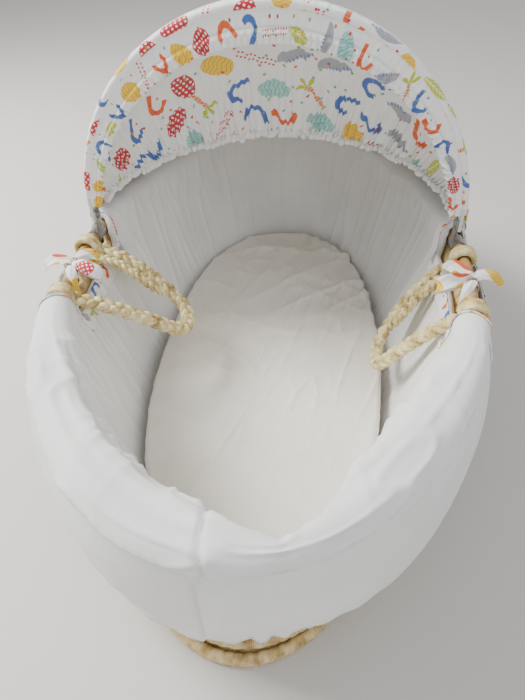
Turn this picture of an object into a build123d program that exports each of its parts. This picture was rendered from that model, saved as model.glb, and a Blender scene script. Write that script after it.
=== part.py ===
"""Moses basket: a woven carrying crib with a padded cloth liner, mattress, folding hood and two handles.

Frame: millimetres, +Z up, +Y towards the head end, +X to the side. The origin is on the surface that
the basket stands on, at the middle of the basket. Every ring of the basket is an ellipse with its long
axis along Y, so one pair of half sizes, (half length, half width), gives each ring at its own height.
"""

import os
from math import asin, cos, degrees, pi, radians, sin, sqrt, tan

from build123d import *

# ---- overall basket -------------------------------------------------------------------------------
RIM_HALF_LENGTH = 405.0     # centre line of the rim rod, along Y
RIM_HALF_WIDTH = 246.0      # centre line of the rim rod, along X
RIM_HEIGHT = 222.0          # centre line of the rim rod above the ground
ROD_RADIUS = 7.0

# ---- woven body -----------------------------------------------------------------------------------
WALL_FLARE_END = 7.0         # the rim stands this far outside the base, at the ends
WALL_FLARE_SIDE = 63.0       # and this far at the sides
BASE_THICKNESS = 8.0
ROW_RADIUS = 6.0            # one twined husk row
ROW_COUNT = 3               # thick rows below the plain wall
ROW_STEP_IN = 12.0          # each row sits this much further in at the ends than the row below
ROW_STEP_OUT = 1.5          # and this much further out at the sides
WALL_THICKNESS = 9.0
STAKE_RADIUS = 1.8
STAKE_COUNT = 36
WEAVE_CLEARANCE = 0.4       # between neighbouring woven pieces

# ---- liner ----------------------------------------------------------------------------------------
LINER_THICKNESS = 10.0      # padded inner wall
FLOOR_CLOTH = 3.0           # liner floor
ROD_GAP = 2.0               # between the rim rod and the cloth round it
ROLL_HEIGHT = 12.0          # padded roll above the rim rod
FOOT_ROLL_DEPTH = 14.0      # how much further in the roll reaches at the foot
FOOT_ROLL_DROP = 40.0       # how far the foot roll hangs below the rim
SKIRT_CLOTH = 3.0
SKIRT_HEM_HEIGHT = 46.0
SKIRT_BULGE_HEIGHT = 112.0
SKIRT_BULGE = 34.0          # the loose skirt stands this far out from the rim, at the sides
SKIRT_END_BULGE = 12.0      # and this far at the ends
SKIRT_HEM_GAP = 1.0         # between the hem's elastic and the woven wall
SLOT_HEAD_END = 62.0        # the side slots in the liner, along Y
SLOT_FOOT_END = -128.0
SLOT_DROP_OUTER = 24.0      # the skirt in a slot stops this far below the rod's centre line
SLOT_DROP_INNER = 44.0      # and the inner wall this far
NOTCH_CLEARANCE = 1.5       # in the woven wall, round what goes round the rod
FACING_CLOTH = 2.0
FACING_END_GAP = 0.5
ELASTIC_RADIUS = 2.0

# ---- mattress -------------------------------------------------------------------------------------
MATTRESS_END_GAP = 8.0       # between mattress and liner at the floor, at the ends
MATTRESS_SIDE_GAP = 3.5      # and at the sides
CLOTH_GAP = 0.5              # between parts that lie on each other
SEAM_GAP = 0.4               # between cloth parts that stand side by side
LINER_LIFT = 1.0             # of the inner wall above the floor's underside
HEM_CORD_RISE = 4.0          # of the hem's elastic above the hem
MATTRESS_THICKNESS = 49.0
MATTRESS_EDGE = 14.0        # rounding of the top edge
SHEET_CLOTH = 1.2
SHEET_TURN_UNDER = 32.0     # width of the sheet turned under the mattress

# ---- hood -----------------------------------------------------------------------------------------
PIVOT_Y = 45.0
PIVOT_RISE = 30.0           # hood pivot above the rim rod's centre line
BOW_INSET = 1.5             # the outside of the flat bow stands this far inside the rod's centre line
BOW_THICKNESS = 4.0
BOW_WIDTH = 14.0
BOW_FOOT = 8.0              # the bow goes this far below its pivot
SLEEVE_CLOTH = 1.5
SLEEVE_GAP = 1.0
SLEEVE_FOOT_ANGLE = 4.0     # the sleeve stops this many degrees above the pivot
VALANCE_DEPTH = 32.0        # cloth band hanging inside the bow
VALANCE_CLOTH = 2.0
HOOD_CLOTH = 1.5
HOOD_GAP = 0.8              # between the bow's sleeve and the hood cloths
HOOD_OVERHANG = 6.0         # the hood's rear band stands this far outside the rim roll
HOOD_BAND_DROP = 30.0       # the rear band hangs this far below the pivot
LINING_INSET = 8.0          # the lining runs this far inside the hood cover at the bow
LINING_SHARE = 0.42          # how far back the lining slopes, as a share of the hood cover
LINING_EDGE_START = 15.0     # its lower edge starts this far behind the pivot
LINING_EDGE_TILT = 36.4      # and rises towards the head at this many degrees
LINING_CORD_START = 15.0     # degrees round from the side where the lining's elastic starts
ELASTIC_START_Y = 86.0      # the hood's elastics start this far towards the head
BRACKET_WIDTH = 20.0        # pivot bracket, along the rod
BRACKET_SHEET = 2.5
TAB_SHARE = 0.7              # width of the bracket's tab, as a share of its clamp
BRACKET_CLAMP = 2.0         # wall of the clamp round the rod
CLAMP_CLEARANCE = 0.25
RIVET_RADIUS = 2.5
RIVET_HEAD_RADIUS = 5.0
RIVET_HEAD_HEIGHT = 1.6
RUNNING_CLEARANCE = 0.05    # radial, rivet in the bow
SIDE_CLEARANCE = 0.4        # axial, each side of the bow

# ---- handles --------------------------------------------------------------------------------------
HANDLE_HEAD_Y = 11.0        # where the two ends of each handle go round the rod
HANDLE_FOOT_Y = -101.0
HANDLE_REACH = 158.0        # from the rod to the middle of the loop's tip
HANDLE_TIP_RADIUS = 26.0
TIP_SHARE = 0.8              # half width of the tip's straight, as a share of that radius
TIP_BEND_SHARE = 0.7         # and the bend at its corners
KNEE_SHARE = 0.93            # half width of the loop where it is highest, as a share of its root
KNEE_RADIUS = 40.0
RETURN_KNEE_RADIUS = 30.0
PLAIT_WIDTH = 20.0
PLAIT_THICKNESS = 13.0
RETURN_WIDTH = 13.0         # narrower second plait laid inside the head strand
RETURN_SHARE = 0.72         # share of the reach that the second plait runs
PLAIT_CLEARANCE = 1.5       # between neighbouring plaits
LASHING_WIDTH = 22.0
LASHING_GAP = 1.6           # round the rod, with room for the rod's own curve
LASHING_WALL = 9.0
HANDLE_ARCH = 13.0          # the stiff plait bows this far up between the rod and its tip
HANDLE_ARCH_SHARE = 0.3     # and is highest at this share of its reach
LEFT_DROOP = 32.0           # degrees below level at rest
RIGHT_DROOP = 54.0

# ---- hood ties ------------------------------------------------------------------------------------
TIE_Y = -48.0
TIE_WIDTH = 11.0
TIE_CLOTH = 2.5
TIE_GAP = 0.4
TIE_LOOP_LENGTH = 30.0
TIE_LOOP_HEIGHT = 7.0
TIE_LOOP_WIDTH = 20.0

# ---- derived --------------------------------------------------------------------------------------
PIVOT_Z = RIM_HEIGHT + PIVOT_RISE
LASHING_BORE = ROD_RADIUS + LASHING_GAP
ROW_PITCH = 2 * ROW_RADIUS + WEAVE_CLEARANCE
WALL_BOTTOM = ROW_RADIUS + (ROW_COUNT - 1) * ROW_PITCH + ROW_RADIUS + WEAVE_CLEARANCE
WALL_TOP = RIM_HEIGHT - ROD_RADIUS - WEAVE_CLEARANCE
CLOTH_TOP = RIM_HEIGHT + ROD_RADIUS + ROD_GAP
ROLL_TOP = CLOTH_TOP + ROLL_HEIGHT
SLOT_OUTER_Z = RIM_HEIGHT - SLOT_DROP_OUTER
SLOT_INNER_Z = RIM_HEIGHT - SLOT_DROP_INNER
BASE_HALF_LENGTH = RIM_HALF_LENGTH - WALL_FLARE_END
BASE_HALF_WIDTH = RIM_HALF_WIDTH - WALL_FLARE_SIDE
BIG = 4 * RIM_HALF_LENGTH


def row_size(index):
    """Half length and half width of the centre line of a thick husk row, counted from the ground."""
    outward = ROW_RADIUS + 2 * WEAVE_CLEARANCE
    return (
        BASE_HALF_LENGTH + outward - index * ROW_STEP_IN,
        BASE_HALF_WIDTH + outward + index * ROW_STEP_OUT,
    )


def grown(size, amount):
    """The ring that runs this far outside another ring."""
    return size[0] + amount, size[1] + amount


def ring_at(lower, z_lower, upper, z_upper, height):
    """Size of a straight wall's ring at a height."""
    share = (height - z_lower) / (z_upper - z_lower)
    return (
        lower[0] + share * (upper[0] - lower[0]),
        lower[1] + share * (upper[1] - lower[1]),
    )


FLOOR_BOTTOM = BASE_THICKNESS + CLOTH_GAP
FLOOR_TOP = FLOOR_BOTTOM + FLOOR_CLOTH
LINER_BOTTOM = FLOOR_BOTTOM + LINER_LIFT
RIM = (RIM_HALF_LENGTH, RIM_HALF_WIDTH)
WALL_FOOT = grown(row_size(ROW_COUNT - 1), WALL_THICKNESS / 2)
WALL_HEAD = grown(RIM, WALL_THICKNESS / 2)


def wall_ring(height):
    """Outside of the woven wall at a height."""
    return ring_at(WALL_FOOT, WALL_BOTTOM, WALL_HEAD, WALL_TOP, height)


LINER_GAP = ROD_RADIUS + ROD_GAP - WALL_THICKNESS / 2    # between wall and liner, where the stakes run
LINER_FOOT = grown(wall_ring(LINER_BOTTOM), -WALL_THICKNESS - LINER_GAP)
LINER_HEAD = grown(RIM, -ROD_RADIUS - ROD_GAP)
SKIRT_HEAD = grown(RIM, ROD_RADIUS + ROD_GAP + SKIRT_CLOTH)
SKIRT_MIDDLE = (RIM_HALF_LENGTH + SKIRT_END_BULGE, RIM_HALF_WIDTH + SKIRT_BULGE)
HEM_ROOM = SKIRT_CLOTH + SEAM_GAP + 2 * ELASTIC_RADIUS + SKIRT_HEM_GAP
SKIRT_HEM = grown(wall_ring(SKIRT_HEM_HEIGHT + HEM_CORD_RISE + ELASTIC_RADIUS), HEM_ROOM)


def liner_ring(height):
    """Outside of the liner's inner wall at a height: along the woven wall, then upright past the rod."""
    return ring_at(LINER_FOOT, LINER_BOTTOM, LINER_HEAD, WALL_TOP, min(height, WALL_TOP))


def oval(size, height, shift=0.0):
    """An elliptical face of the given half sizes, level, at a height."""
    return Pos(0, shift, height) * Ellipse(size[1], size[0])


def cone(lower, z_lower, upper, z_upper, shift_lower=0.0, shift_upper=0.0):
    """A solid with straight walls between two level ellipses."""
    return loft([oval(lower, z_lower, shift_lower), oval(upper, z_upper, shift_upper)], ruled=True)


def shell(lower, z_lower, upper, z_upper, thickness):
    """A ring wall whose outside runs straight between two ellipses."""
    slope_a = (upper[0] - lower[0]) / (z_upper - z_lower)
    slope_b = (upper[1] - lower[1]) / (z_upper - z_lower)
    below = grown((lower[0] - slope_a, lower[1] - slope_b), -thickness)
    above = grown((upper[0] + slope_a, upper[1] + slope_b), -thickness)
    return cone(lower, z_lower, upper, z_upper) - cone(below, z_lower - 1, above, z_upper + 1)


def hoop(size, height, radius):
    """A round rod bent to an ellipse."""
    path = oval(size, height).wire()
    start = path.position_at(0)
    return sweep(Plane(origin=start, z_dir=path.tangent_at(0)) * Circle(radius), path=path)


def head_hoop(size, height, radius, from_y):
    """A round cord along the head end of an ellipse, from a distance along Y on each side."""
    start = degrees(asin(from_y / size[0]))
    arc = EllipticalCenterArc((0, 0), size[1], size[0], start_angle=start, arc_size=180 - 2 * start)
    path = Pos(0, 0, height) * arc
    return sweep(Plane(origin=path @ 0, z_dir=path % 0) * Circle(radius), path=path)


def y_above(limit):
    """Everything on the head side of a line across the basket."""
    return Pos(0, limit + BIG / 2, 0) * Box(BIG, BIG, BIG)


def y_below(limit):
    """Everything on the foot side of a line across the basket."""
    return Pos(0, limit - BIG / 2, 0) * Box(BIG, BIG, BIG)


def slot_space(side, bottom):
    """The room that a side slot takes out of the cloth, from a height upwards."""
    length = SLOT_HEAD_END - SLOT_FOOT_END
    middle = (SLOT_HEAD_END + SLOT_FOOT_END) / 2
    depth = RIM_HALF_WIDTH
    return Pos(side * RIM_HALF_WIDTH, middle, bottom + BIG / 2) * Box(depth, length, BIG)


def rod_x(y, size=RIM):
    """Half width of a ring at a distance along Y."""
    return size[1] * sqrt(1 - (y / size[0]) ** 2)


BOW_RADIUS = rod_x(PIVOT_Y) - BOW_INSET


# ---- handle geometry ------------------------------------------------------------------------------
def handle_ends(side):
    """The two points of the rod's centre line that a handle turns about."""
    head = Vector(side * rod_x(HANDLE_HEAD_Y), HANDLE_HEAD_Y, RIM_HEIGHT)
    foot = Vector(side * rod_x(HANDLE_FOOT_Y), HANDLE_FOOT_Y, RIM_HEIGHT)
    return head, foot


def handle_plane(side, droop):
    """The loop's own plane: x from the foot end to the head end, y away from the rod."""
    head, foot = handle_ends(side)
    along = (head - foot).normalized()
    inward = Vector(0, 0, 1).cross(along) * side
    inward = inward if inward.X * side < 0 else inward * -1
    reach = inward * cos(radians(droop)) - Vector(0, 0, 1) * sin(radians(droop))
    middle = (head + foot) * 0.5
    return Plane(origin=middle, x_dir=along, z_dir=along.cross(reach))


def half_span(side):
    """Half the distance between the two ends of a handle."""
    head, foot = handle_ends(side)
    return (head - foot).length / 2


def slotted_tube(plane, width, bore, wall):
    """A short tube whose axis is the plane's x axis, centred on the plane's origin."""
    turned = Plane(origin=plane.origin, x_dir=plane.y_dir, z_dir=plane.x_dir)
    ring = Circle(bore + wall) - Circle(bore)
    return turned * extrude(ring, width / 2, both=True)


# ---- woven basket ---------------------------------------------------------------------------------
def make_woven_base():
    return extrude(oval((BASE_HALF_LENGTH, BASE_HALF_WIDTH), 0), BASE_THICKNESS)


def make_husk_row(index):
    return hoop(row_size(index), ROW_RADIUS + index * ROW_PITCH, ROW_RADIUS)


def make_woven_wall():
    """The plain wall, notched under the rod for the handles, the hood brackets and the ties."""
    wall = shell(WALL_FOOT, WALL_BOTTOM, WALL_HEAD, WALL_TOP, WALL_THICKNESS)
    handle_depth = LASHING_BORE + LASHING_WALL + PLAIT_THICKNESS / 2
    handle_width = LASHING_WIDTH + 4 * NOTCH_CLEARANCE
    clamp_depth = ROD_RADIUS + CLAMP_CLEARANCE + BRACKET_CLAMP
    tie_depth = ROD_RADIUS + TIE_GAP + TIE_CLOTH
    notches = [
        (HANDLE_HEAD_Y, handle_width, handle_depth),
        (HANDLE_FOOT_Y, handle_width, handle_depth),
        (PIVOT_Y, BRACKET_WIDTH + 2 * NOTCH_CLEARANCE, clamp_depth),
        (TIE_Y, TIE_WIDTH + 2 * NOTCH_CLEARANCE, tie_depth),
    ]
    for y, width, depth in notches:
        height = 2 * (depth + NOTCH_CLEARANCE)
        for side in (-1, 1):
            wall -= Pos(side * rod_x(y), y, RIM_HEIGHT) * Box(6 * ROD_RADIUS, width, height)
    return wall


def make_stakes():
    """Cane stakes up the inside of the wall, each along a straight line of the wall's surface."""
    inset = WALL_THICKNESS + LINER_GAP / 2
    bottom_z = WALL_BOTTOM
    top_z = WALL_TOP
    stakes = []
    for index in range(STAKE_COUNT):
        angle = 2 * pi * (index + 0.5) / STAKE_COUNT
        foot = grown(WALL_FOOT, -inset)
        head = grown(WALL_HEAD, -inset)
        start = Vector(foot[1] * cos(angle), foot[0] * sin(angle), bottom_z)
        end = Vector(head[1] * cos(angle), head[0] * sin(angle), top_z)
        in_slot = SLOT_FOOT_END < end.Y < SLOT_HEAD_END
        if in_slot:
            share = (SLOT_INNER_Z - bottom_z) / (top_z - bottom_z)
            end = start + (end - start) * share
        run = end - start
        stakes.append(Plane(origin=start, z_dir=run) * extrude(Circle(STAKE_RADIUS), run.length))
    return Compound(children=[stake.solid() for stake in stakes])


def make_rim_rod():
    return hoop(RIM, RIM_HEIGHT, ROD_RADIUS)


# ---- mattress -------------------------------------------------------------------------------------
def rounded_oval(size, z_lower, z_upper, edge):
    """A level oval pad with a rounded upper edge."""
    pad = extrude(oval(size, z_lower), z_upper - z_lower)
    return fillet(pad.edges().group_by(Axis.Z)[-1], edge)


LINER_INSIDE = grown(LINER_FOOT, -LINER_THICKNESS)
MATTRESS = (LINER_INSIDE[0] - MATTRESS_END_GAP, LINER_INSIDE[1] - MATTRESS_SIDE_GAP)
MATTRESS_BOTTOM = FLOOR_TOP + CLOTH_GAP
MATTRESS_TOP = MATTRESS_BOTTOM + MATTRESS_THICKNESS
CORE = grown(MATTRESS, -SHEET_CLOTH)
CORE_BOTTOM = MATTRESS_BOTTOM + SHEET_CLOTH
CORE_TOP = MATTRESS_TOP - SHEET_CLOTH
SHEET_OPENING = grown(MATTRESS, -SHEET_TURN_UNDER)


def make_mattress_core():
    return rounded_oval(CORE, CORE_BOTTOM, CORE_TOP, MATTRESS_EDGE - SHEET_CLOTH)


def make_fitted_sheet():
    outside = rounded_oval(MATTRESS, MATTRESS_BOTTOM, MATTRESS_TOP, MATTRESS_EDGE)
    opening = extrude(oval(SHEET_OPENING, MATTRESS_BOTTOM - 1), SHEET_CLOTH + 1)
    return outside - make_mattress_core() - opening


def make_sheet_elastic():
    """Flat elastic along the edge of the sheet's turned-under hem."""
    outer = grown(SHEET_OPENING, -WEAVE_CLEARANCE)
    ring = oval(outer, MATTRESS_BOTTOM) - oval(grown(outer, -5), MATTRESS_BOTTOM)
    return extrude(ring, SHEET_CLOTH)


# ---- liner ----------------------------------------------------------------------------------------
def make_liner_floor():
    return extrude(oval(grown(LINER_FOOT, -LINER_THICKNESS - 1), FLOOR_BOTTOM), FLOOR_CLOTH)


def make_liner_inner_wall():
    lower = shell(LINER_FOOT, LINER_BOTTOM, LINER_HEAD, WALL_TOP, LINER_THICKNESS)
    wall = lower + shell(LINER_HEAD, WALL_TOP, LINER_HEAD, CLOTH_TOP, LINER_THICKNESS)
    for side in (-1, 1):
        wall -= slot_space(side, SLOT_INNER_Z)
    return wall


def roll_ring(z_lower, z_upper):
    """The padded roll over the rim, thicker towards the inside at the foot."""
    inner = grown(LINER_HEAD, -LINER_THICKNESS)
    inner = (inner[0] - FOOT_ROLL_DEPTH / 2, inner[1])
    height = z_upper - z_lower
    outer_part = extrude(oval(SKIRT_HEAD, z_lower), height)
    return outer_part - extrude(oval(inner, z_lower - 1, FOOT_ROLL_DEPTH / 2), height + 2)


def make_rim_roll_head():
    return roll_ring(CLOTH_TOP, ROLL_TOP) & y_above(SLOT_HEAD_END)


def make_rim_roll_foot():
    """The foot roll also hangs down inside the inner wall, a little clear of it."""
    cap = roll_ring(CLOTH_TOP, ROLL_TOP)
    bottom = CLOTH_TOP - FOOT_ROLL_DROP
    inset = -LINER_THICKNESS - 2 * WEAVE_CLEARANCE
    drop = roll_ring(bottom, CLOTH_TOP)
    drop &= cone(grown(liner_ring(bottom), inset), bottom, grown(LINER_HEAD, inset), CLOTH_TOP)
    return (cap + drop) & y_below(SLOT_FOOT_END)


def skirt_body(inset, overrun):
    """The skirt's envelope: out from the rim to its bulge, then in to the hem."""
    hem = grown(SKIRT_HEM, -inset)
    middle = grown(SKIRT_MIDDLE, -inset)
    top = grown(SKIRT_HEAD, -inset)
    lower = cone(hem, SKIRT_HEM_HEIGHT, middle, SKIRT_BULGE_HEIGHT)
    upper = cone(middle, SKIRT_BULGE_HEIGHT, top, CLOTH_TOP)
    if not overrun:
        return lower + upper
    below = extrude(oval(hem, SKIRT_HEM_HEIGHT), -overrun)
    above = extrude(oval(top, CLOTH_TOP), overrun)
    return lower + upper + below + above


def make_liner_skirt():
    skirt = skirt_body(0.0, 0.0) - skirt_body(SKIRT_CLOTH, 1.0)
    for side in (-1, 1):
        skirt -= slot_space(side, SLOT_OUTER_Z)
    return skirt


def make_skirt_elastic():
    ring = grown(SKIRT_HEM, -SKIRT_CLOTH - ELASTIC_RADIUS - SEAM_GAP)
    return hoop(ring, SKIRT_HEM_HEIGHT + HEM_CORD_RISE, ELASTIC_RADIUS)


def slot_facing(side, outer, thickness, height):
    """A bound edge of printed cloth on top of the cloth in a slot."""
    ring = oval(outer, height) - oval(grown(outer, -thickness), height)
    length = SLOT_HEAD_END - SLOT_FOOT_END - 2 * FACING_END_GAP
    middle = (SLOT_HEAD_END + SLOT_FOOT_END) / 2
    room = Pos(side * RIM_HALF_WIDTH, middle, height) * Box(RIM_HALF_WIDTH, length, BIG)
    return extrude(ring, FACING_CLOTH) & room


def make_inner_facing(side):
    return slot_facing(side, liner_ring(SLOT_INNER_Z), LINER_THICKNESS, SLOT_INNER_Z)


def make_outer_facing(side):
    outer = ring_at(SKIRT_MIDDLE, SKIRT_BULGE_HEIGHT, SKIRT_HEAD, CLOTH_TOP, SLOT_OUTER_Z)
    return slot_facing(side, outer, SKIRT_CLOTH, SLOT_OUTER_Z)


# ---- hood -----------------------------------------------------------------------------------------
SLEEVE_INNER = BOW_RADIUS - BOW_THICKNESS - SLEEVE_GAP - SLEEVE_CLOTH
SLEEVE_OUTER = BOW_RADIUS + SLEEVE_GAP + SLEEVE_CLOTH
SLEEVE_HALF = BOW_WIDTH / 2 + SLEEVE_GAP + SLEEVE_CLOTH


def half_ring(outer, inner, half_width, foot_angle):
    """An upright half ring round the pivot line, stopping short of the pivots by an angle."""
    ring = Circle(outer) - Circle(inner)
    plane = Plane(origin=(0, PIVOT_Y, PIVOT_Z), x_dir=(1, 0, 0), z_dir=(0, -1, 0))
    body = plane * extrude(ring, half_width, both=True)
    floor = PIVOT_Z + inner * sin(radians(foot_angle))
    return body & (Pos(0, 0, floor + BIG / 2) * Box(BIG, BIG, BIG))


def make_hood_bow():
    plane = Plane(origin=(0, PIVOT_Y, PIVOT_Z), x_dir=(1, 0, 0), z_dir=(0, -1, 0))
    ring = plane * extrude(Circle(BOW_RADIUS) - Circle(BOW_RADIUS - BOW_THICKNESS), BOW_WIDTH / 2, both=True)
    bow = ring & (Pos(0, 0, PIVOT_Z + BIG / 2) * Box(BIG, BIG, BIG))
    for side in (-1, 1):
        foot = Pos(side * (BOW_RADIUS - BOW_THICKNESS / 2), PIVOT_Y, PIVOT_Z - BOW_FOOT / 2)
        bow += foot * Box(BOW_THICKNESS, BOW_WIDTH, BOW_FOOT)
    hole = Rotation(0, 90, 0) * Cylinder(RIVET_RADIUS + RUNNING_CLEARANCE, BIG)
    return bow - Pos(0, PIVOT_Y, PIVOT_Z) * hole


def make_hood_sleeve():
    outside = half_ring(SLEEVE_OUTER, SLEEVE_INNER, SLEEVE_HALF, SLEEVE_FOOT_ANGLE)
    inner_radius = BOW_RADIUS - BOW_THICKNESS - SLEEVE_GAP
    inside = half_ring(BOW_RADIUS + SLEEVE_GAP, inner_radius, BOW_WIDTH / 2 + SLEEVE_GAP, 0)
    return outside - inside


def make_hood_valance():
    outer = SLEEVE_INNER - SEAM_GAP
    band = half_ring(outer, outer - VALANCE_DEPTH, VALANCE_CLOTH / 2, SLEEVE_FOOT_ANGLE)
    return Pos(0, -SLEEVE_HALF + VALANCE_CLOTH / 2, 0) * band


def hood_wedge(radius, half_width, reach):
    """The space under cloth stretched from an upright half circle back to a level half ellipse."""
    upright = Plane(origin=(0, PIVOT_Y, PIVOT_Z), x_dir=(1, 0, 0), z_dir=(0, -1, 0))
    front = upright * CenterArc((0, 0), radius, 0, 180)
    level = Plane(origin=(0, PIVOT_Y, PIVOT_Z))
    steps = 8
    points = []
    for index in range(steps + 1):
        angle = pi * index / steps
        points.append((half_width * cos(angle), reach * sin(angle)))
    rear = level * Spline(points, tangents=[(0, 1), (0, -1)])
    top = Face.make_surface_from_curves(front.edge(), rear.edge())
    front_line = Line(front @ 0, front @ 1)
    rear_line = Line(rear @ 0, rear @ 1)
    upright_face = Face(Wire([front.edge(), front_line.edge()]))
    level_face = Face(Wire([rear.edge(), rear_line.edge()]))
    return Solid(Shell([top, upright_face, level_face]))


HOOD_REACH = RIM_HALF_LENGTH + ROD_RADIUS + ROD_GAP + SKIRT_CLOTH + HOOD_OVERHANG - PIVOT_Y
LINING_REACH = LINING_SHARE * HOOD_REACH
LINING_RADIUS = SLEEVE_OUTER - LINING_INSET
LINING_WIDTH = LINER_HEAD[1] - LINER_THICKNESS / 2


def make_hood_cover():
    outside = hood_wedge(SLEEVE_OUTER, SLEEVE_OUTER, HOOD_REACH)
    inner = SLEEVE_OUTER - HOOD_CLOTH
    inside = hood_wedge(inner, inner, HOOD_REACH - HOOD_CLOTH)
    return (outside - inside) & y_above(PIVOT_Y + SLEEVE_HALF + HOOD_GAP)


def make_hood_rear_band():
    """The band that the hood's rear elastic pulls down round the rim, with a ledge up to the cover."""
    widest = grown(SKIRT_HEAD, HOOD_OVERHANG)
    bottom = PIVOT_Z - HOOD_BAND_DROP
    top = PIVOT_Z - HOOD_GAP
    upright = oval(widest, bottom) - oval(grown(widest, -HOOD_CLOTH), bottom)
    band = extrude(upright, top - bottom)
    under_cover = (HOOD_REACH - 2 * HOOD_CLOTH, SLEEVE_OUTER - 2 * HOOD_CLOTH)
    ledge = extrude(oval(widest, top), -HOOD_CLOTH)
    ledge -= extrude(oval(under_cover, top + 1, PIVOT_Y), -HOOD_CLOTH - 2)
    return (band + ledge) & y_above(ELASTIC_START_Y)


def lining_edge():
    """The sloping plane of the lining's lower edge: x across, y towards the head and up."""
    tilt = radians(LINING_EDGE_TILT)
    origin = (0, PIVOT_Y + LINING_EDGE_START, PIVOT_Z)
    return Plane(origin=origin, x_dir=(1, 0, 0), z_dir=(0, -sin(tilt), cos(tilt)))


def make_hood_lining():
    outside = hood_wedge(LINING_RADIUS, LINING_WIDTH, LINING_REACH)
    inside = hood_wedge(LINING_RADIUS - HOOD_CLOTH, LINING_WIDTH - HOOD_CLOTH, LINING_REACH - HOOD_CLOTH)
    above = lining_edge() * Pos(0, 0, BIG / 2) * Box(BIG, BIG, BIG)
    return (outside - inside) & y_above(PIVOT_Y + SLEEVE_HALF + HOOD_GAP) & above


def make_lining_elastic():
    """A cord just under the lining's lower edge, which is an ellipse in its own sloping plane."""
    slope = tan(radians(LINING_EDGE_TILT))
    whole = LINING_RADIUS + LINING_REACH * slope
    back = LINING_REACH * LINING_EDGE_START * slope / whole - LINING_EDGE_START
    rise = cos(radians(LINING_EDGE_TILT))
    length = (LINING_REACH * LINING_RADIUS / whole - HOOD_CLOTH / 2) / rise
    width = (LINING_RADIUS + LINING_WIDTH - HOOD_CLOTH) / 2
    arc = EllipticalCenterArc(
        (0, back / rise), width, length, start_angle=LINING_CORD_START, arc_size=180 - 2 * LINING_CORD_START
    )
    path = lining_edge() * Pos(0, 0, -ELASTIC_RADIUS - SEAM_GAP) * arc
    return sweep(Plane(origin=path @ 0, z_dir=path % 0) * Circle(ELASTIC_RADIUS), path=path)


def make_rear_elastic():
    size = grown(SKIRT_HEAD, HOOD_OVERHANG - HOOD_CLOTH / 2)
    height = PIVOT_Z - HOOD_BAND_DROP - ELASTIC_RADIUS - SEAM_GAP
    return head_hoop(size, height, ELASTIC_RADIUS, ELASTIC_START_Y)


TAB_OUTER = BOW_RADIUS - BOW_THICKNESS - SIDE_CLEARANCE
TAB_INNER = TAB_OUTER - BRACKET_SHEET


def rod_tangent(side, y):
    """Unit direction of the rod at a distance along Y, towards the head."""
    slope = -side * y * RIM_HALF_WIDTH**2 / (rod_x(y) * RIM_HALF_LENGTH**2)
    return Vector(slope, 1, 0).normalized()


def make_hood_bracket(side):
    """A strap clamped round the rod, with an upright tab for the rivet."""
    origin = (side * rod_x(PIVOT_Y), PIVOT_Y, RIM_HEIGHT)
    bore = ROD_RADIUS + CLAMP_CLEARANCE
    ring = Circle(bore + BRACKET_CLAMP) - Circle(bore)
    across = Plane(origin=origin, z_dir=rod_tangent(side, PIVOT_Y))
    clamp = across * extrude(ring, BRACKET_WIDTH / 2, both=True)
    tab_bottom = RIM_HEIGHT + bore + CLAMP_CLEARANCE
    tab_top = PIVOT_Z + RIVET_HEAD_RADIUS + 2
    middle_x = side * (TAB_OUTER - BRACKET_SHEET / 2)
    tab = Box(BRACKET_SHEET, BRACKET_WIDTH * TAB_SHARE, tab_top - tab_bottom)
    bracket = clamp + Pos(middle_x, PIVOT_Y, (tab_bottom + tab_top) / 2) * tab
    hole = Rotation(0, 90, 0) * Cylinder(RIVET_RADIUS, BIG)
    return bracket - Pos(0, PIVOT_Y, PIVOT_Z) * hole


def make_pivot_rivet(side):
    """A rivet through the tab and the bow, with a head at each end."""
    start = TAB_INNER
    end = BOW_RADIUS + SIDE_CLEARANCE
    shaft = Pos(0, 0, start) * extrude(Circle(RIVET_RADIUS), end - start)
    inner_head = Pos(0, 0, start) * extrude(Circle(RIVET_HEAD_RADIUS), -RIVET_HEAD_HEIGHT)
    outer_head = Pos(0, 0, end) * extrude(Circle(RIVET_HEAD_RADIUS), RIVET_HEAD_HEIGHT)
    rivet = shaft + inner_head + outer_head
    return Plane(origin=(0, PIVOT_Y, PIVOT_Z), x_dir=(0, 1, 0), z_dir=(side, 0, 0)) * rivet


# ---- handles --------------------------------------------------------------------------------------
def loop_points(span, reach):
    """The loop's line in its own plane: out along one strand, round the tip and back."""
    root = LASHING_BORE + LASHING_WALL
    knee = HANDLE_ARCH_SHARE * reach
    return [
        (span, root, 0),
        (span * KNEE_SHARE, knee, HANDLE_ARCH),
        (HANDLE_TIP_RADIUS * TIP_SHARE, reach, 0),
        (-HANDLE_TIP_RADIUS * TIP_SHARE, reach, 0),
        (-span * KNEE_SHARE, knee, HANDLE_ARCH),
        (-span, root, 0),
    ]


def flat_plait(side, droop, points, radii, width, thickness):
    """A flat plait swept along a bent line; a point is (along the rod, away from it, up)."""
    plane = handle_plane(side, droop)
    up = plane.z_dir if plane.z_dir.Z > 0 else plane.z_dir * -1
    placed = [plane.origin + plane.x_dir * u + plane.y_dir * v + up * w for u, v, w in points]
    path = FilletPolyline(*placed, radius=radii)
    section = Plane(origin=path @ 0, x_dir=up, z_dir=path % 0) * Ellipse(thickness / 2, width / 2)
    return sweep(section, path=path)


def make_handle_plait(side, droop):
    points = loop_points(half_span(side), HANDLE_REACH)
    tip = HANDLE_TIP_RADIUS * TIP_BEND_SHARE
    return flat_plait(side, droop, points, [KNEE_RADIUS, tip, tip, KNEE_RADIUS], PLAIT_WIDTH, PLAIT_THICKNESS)


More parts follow.
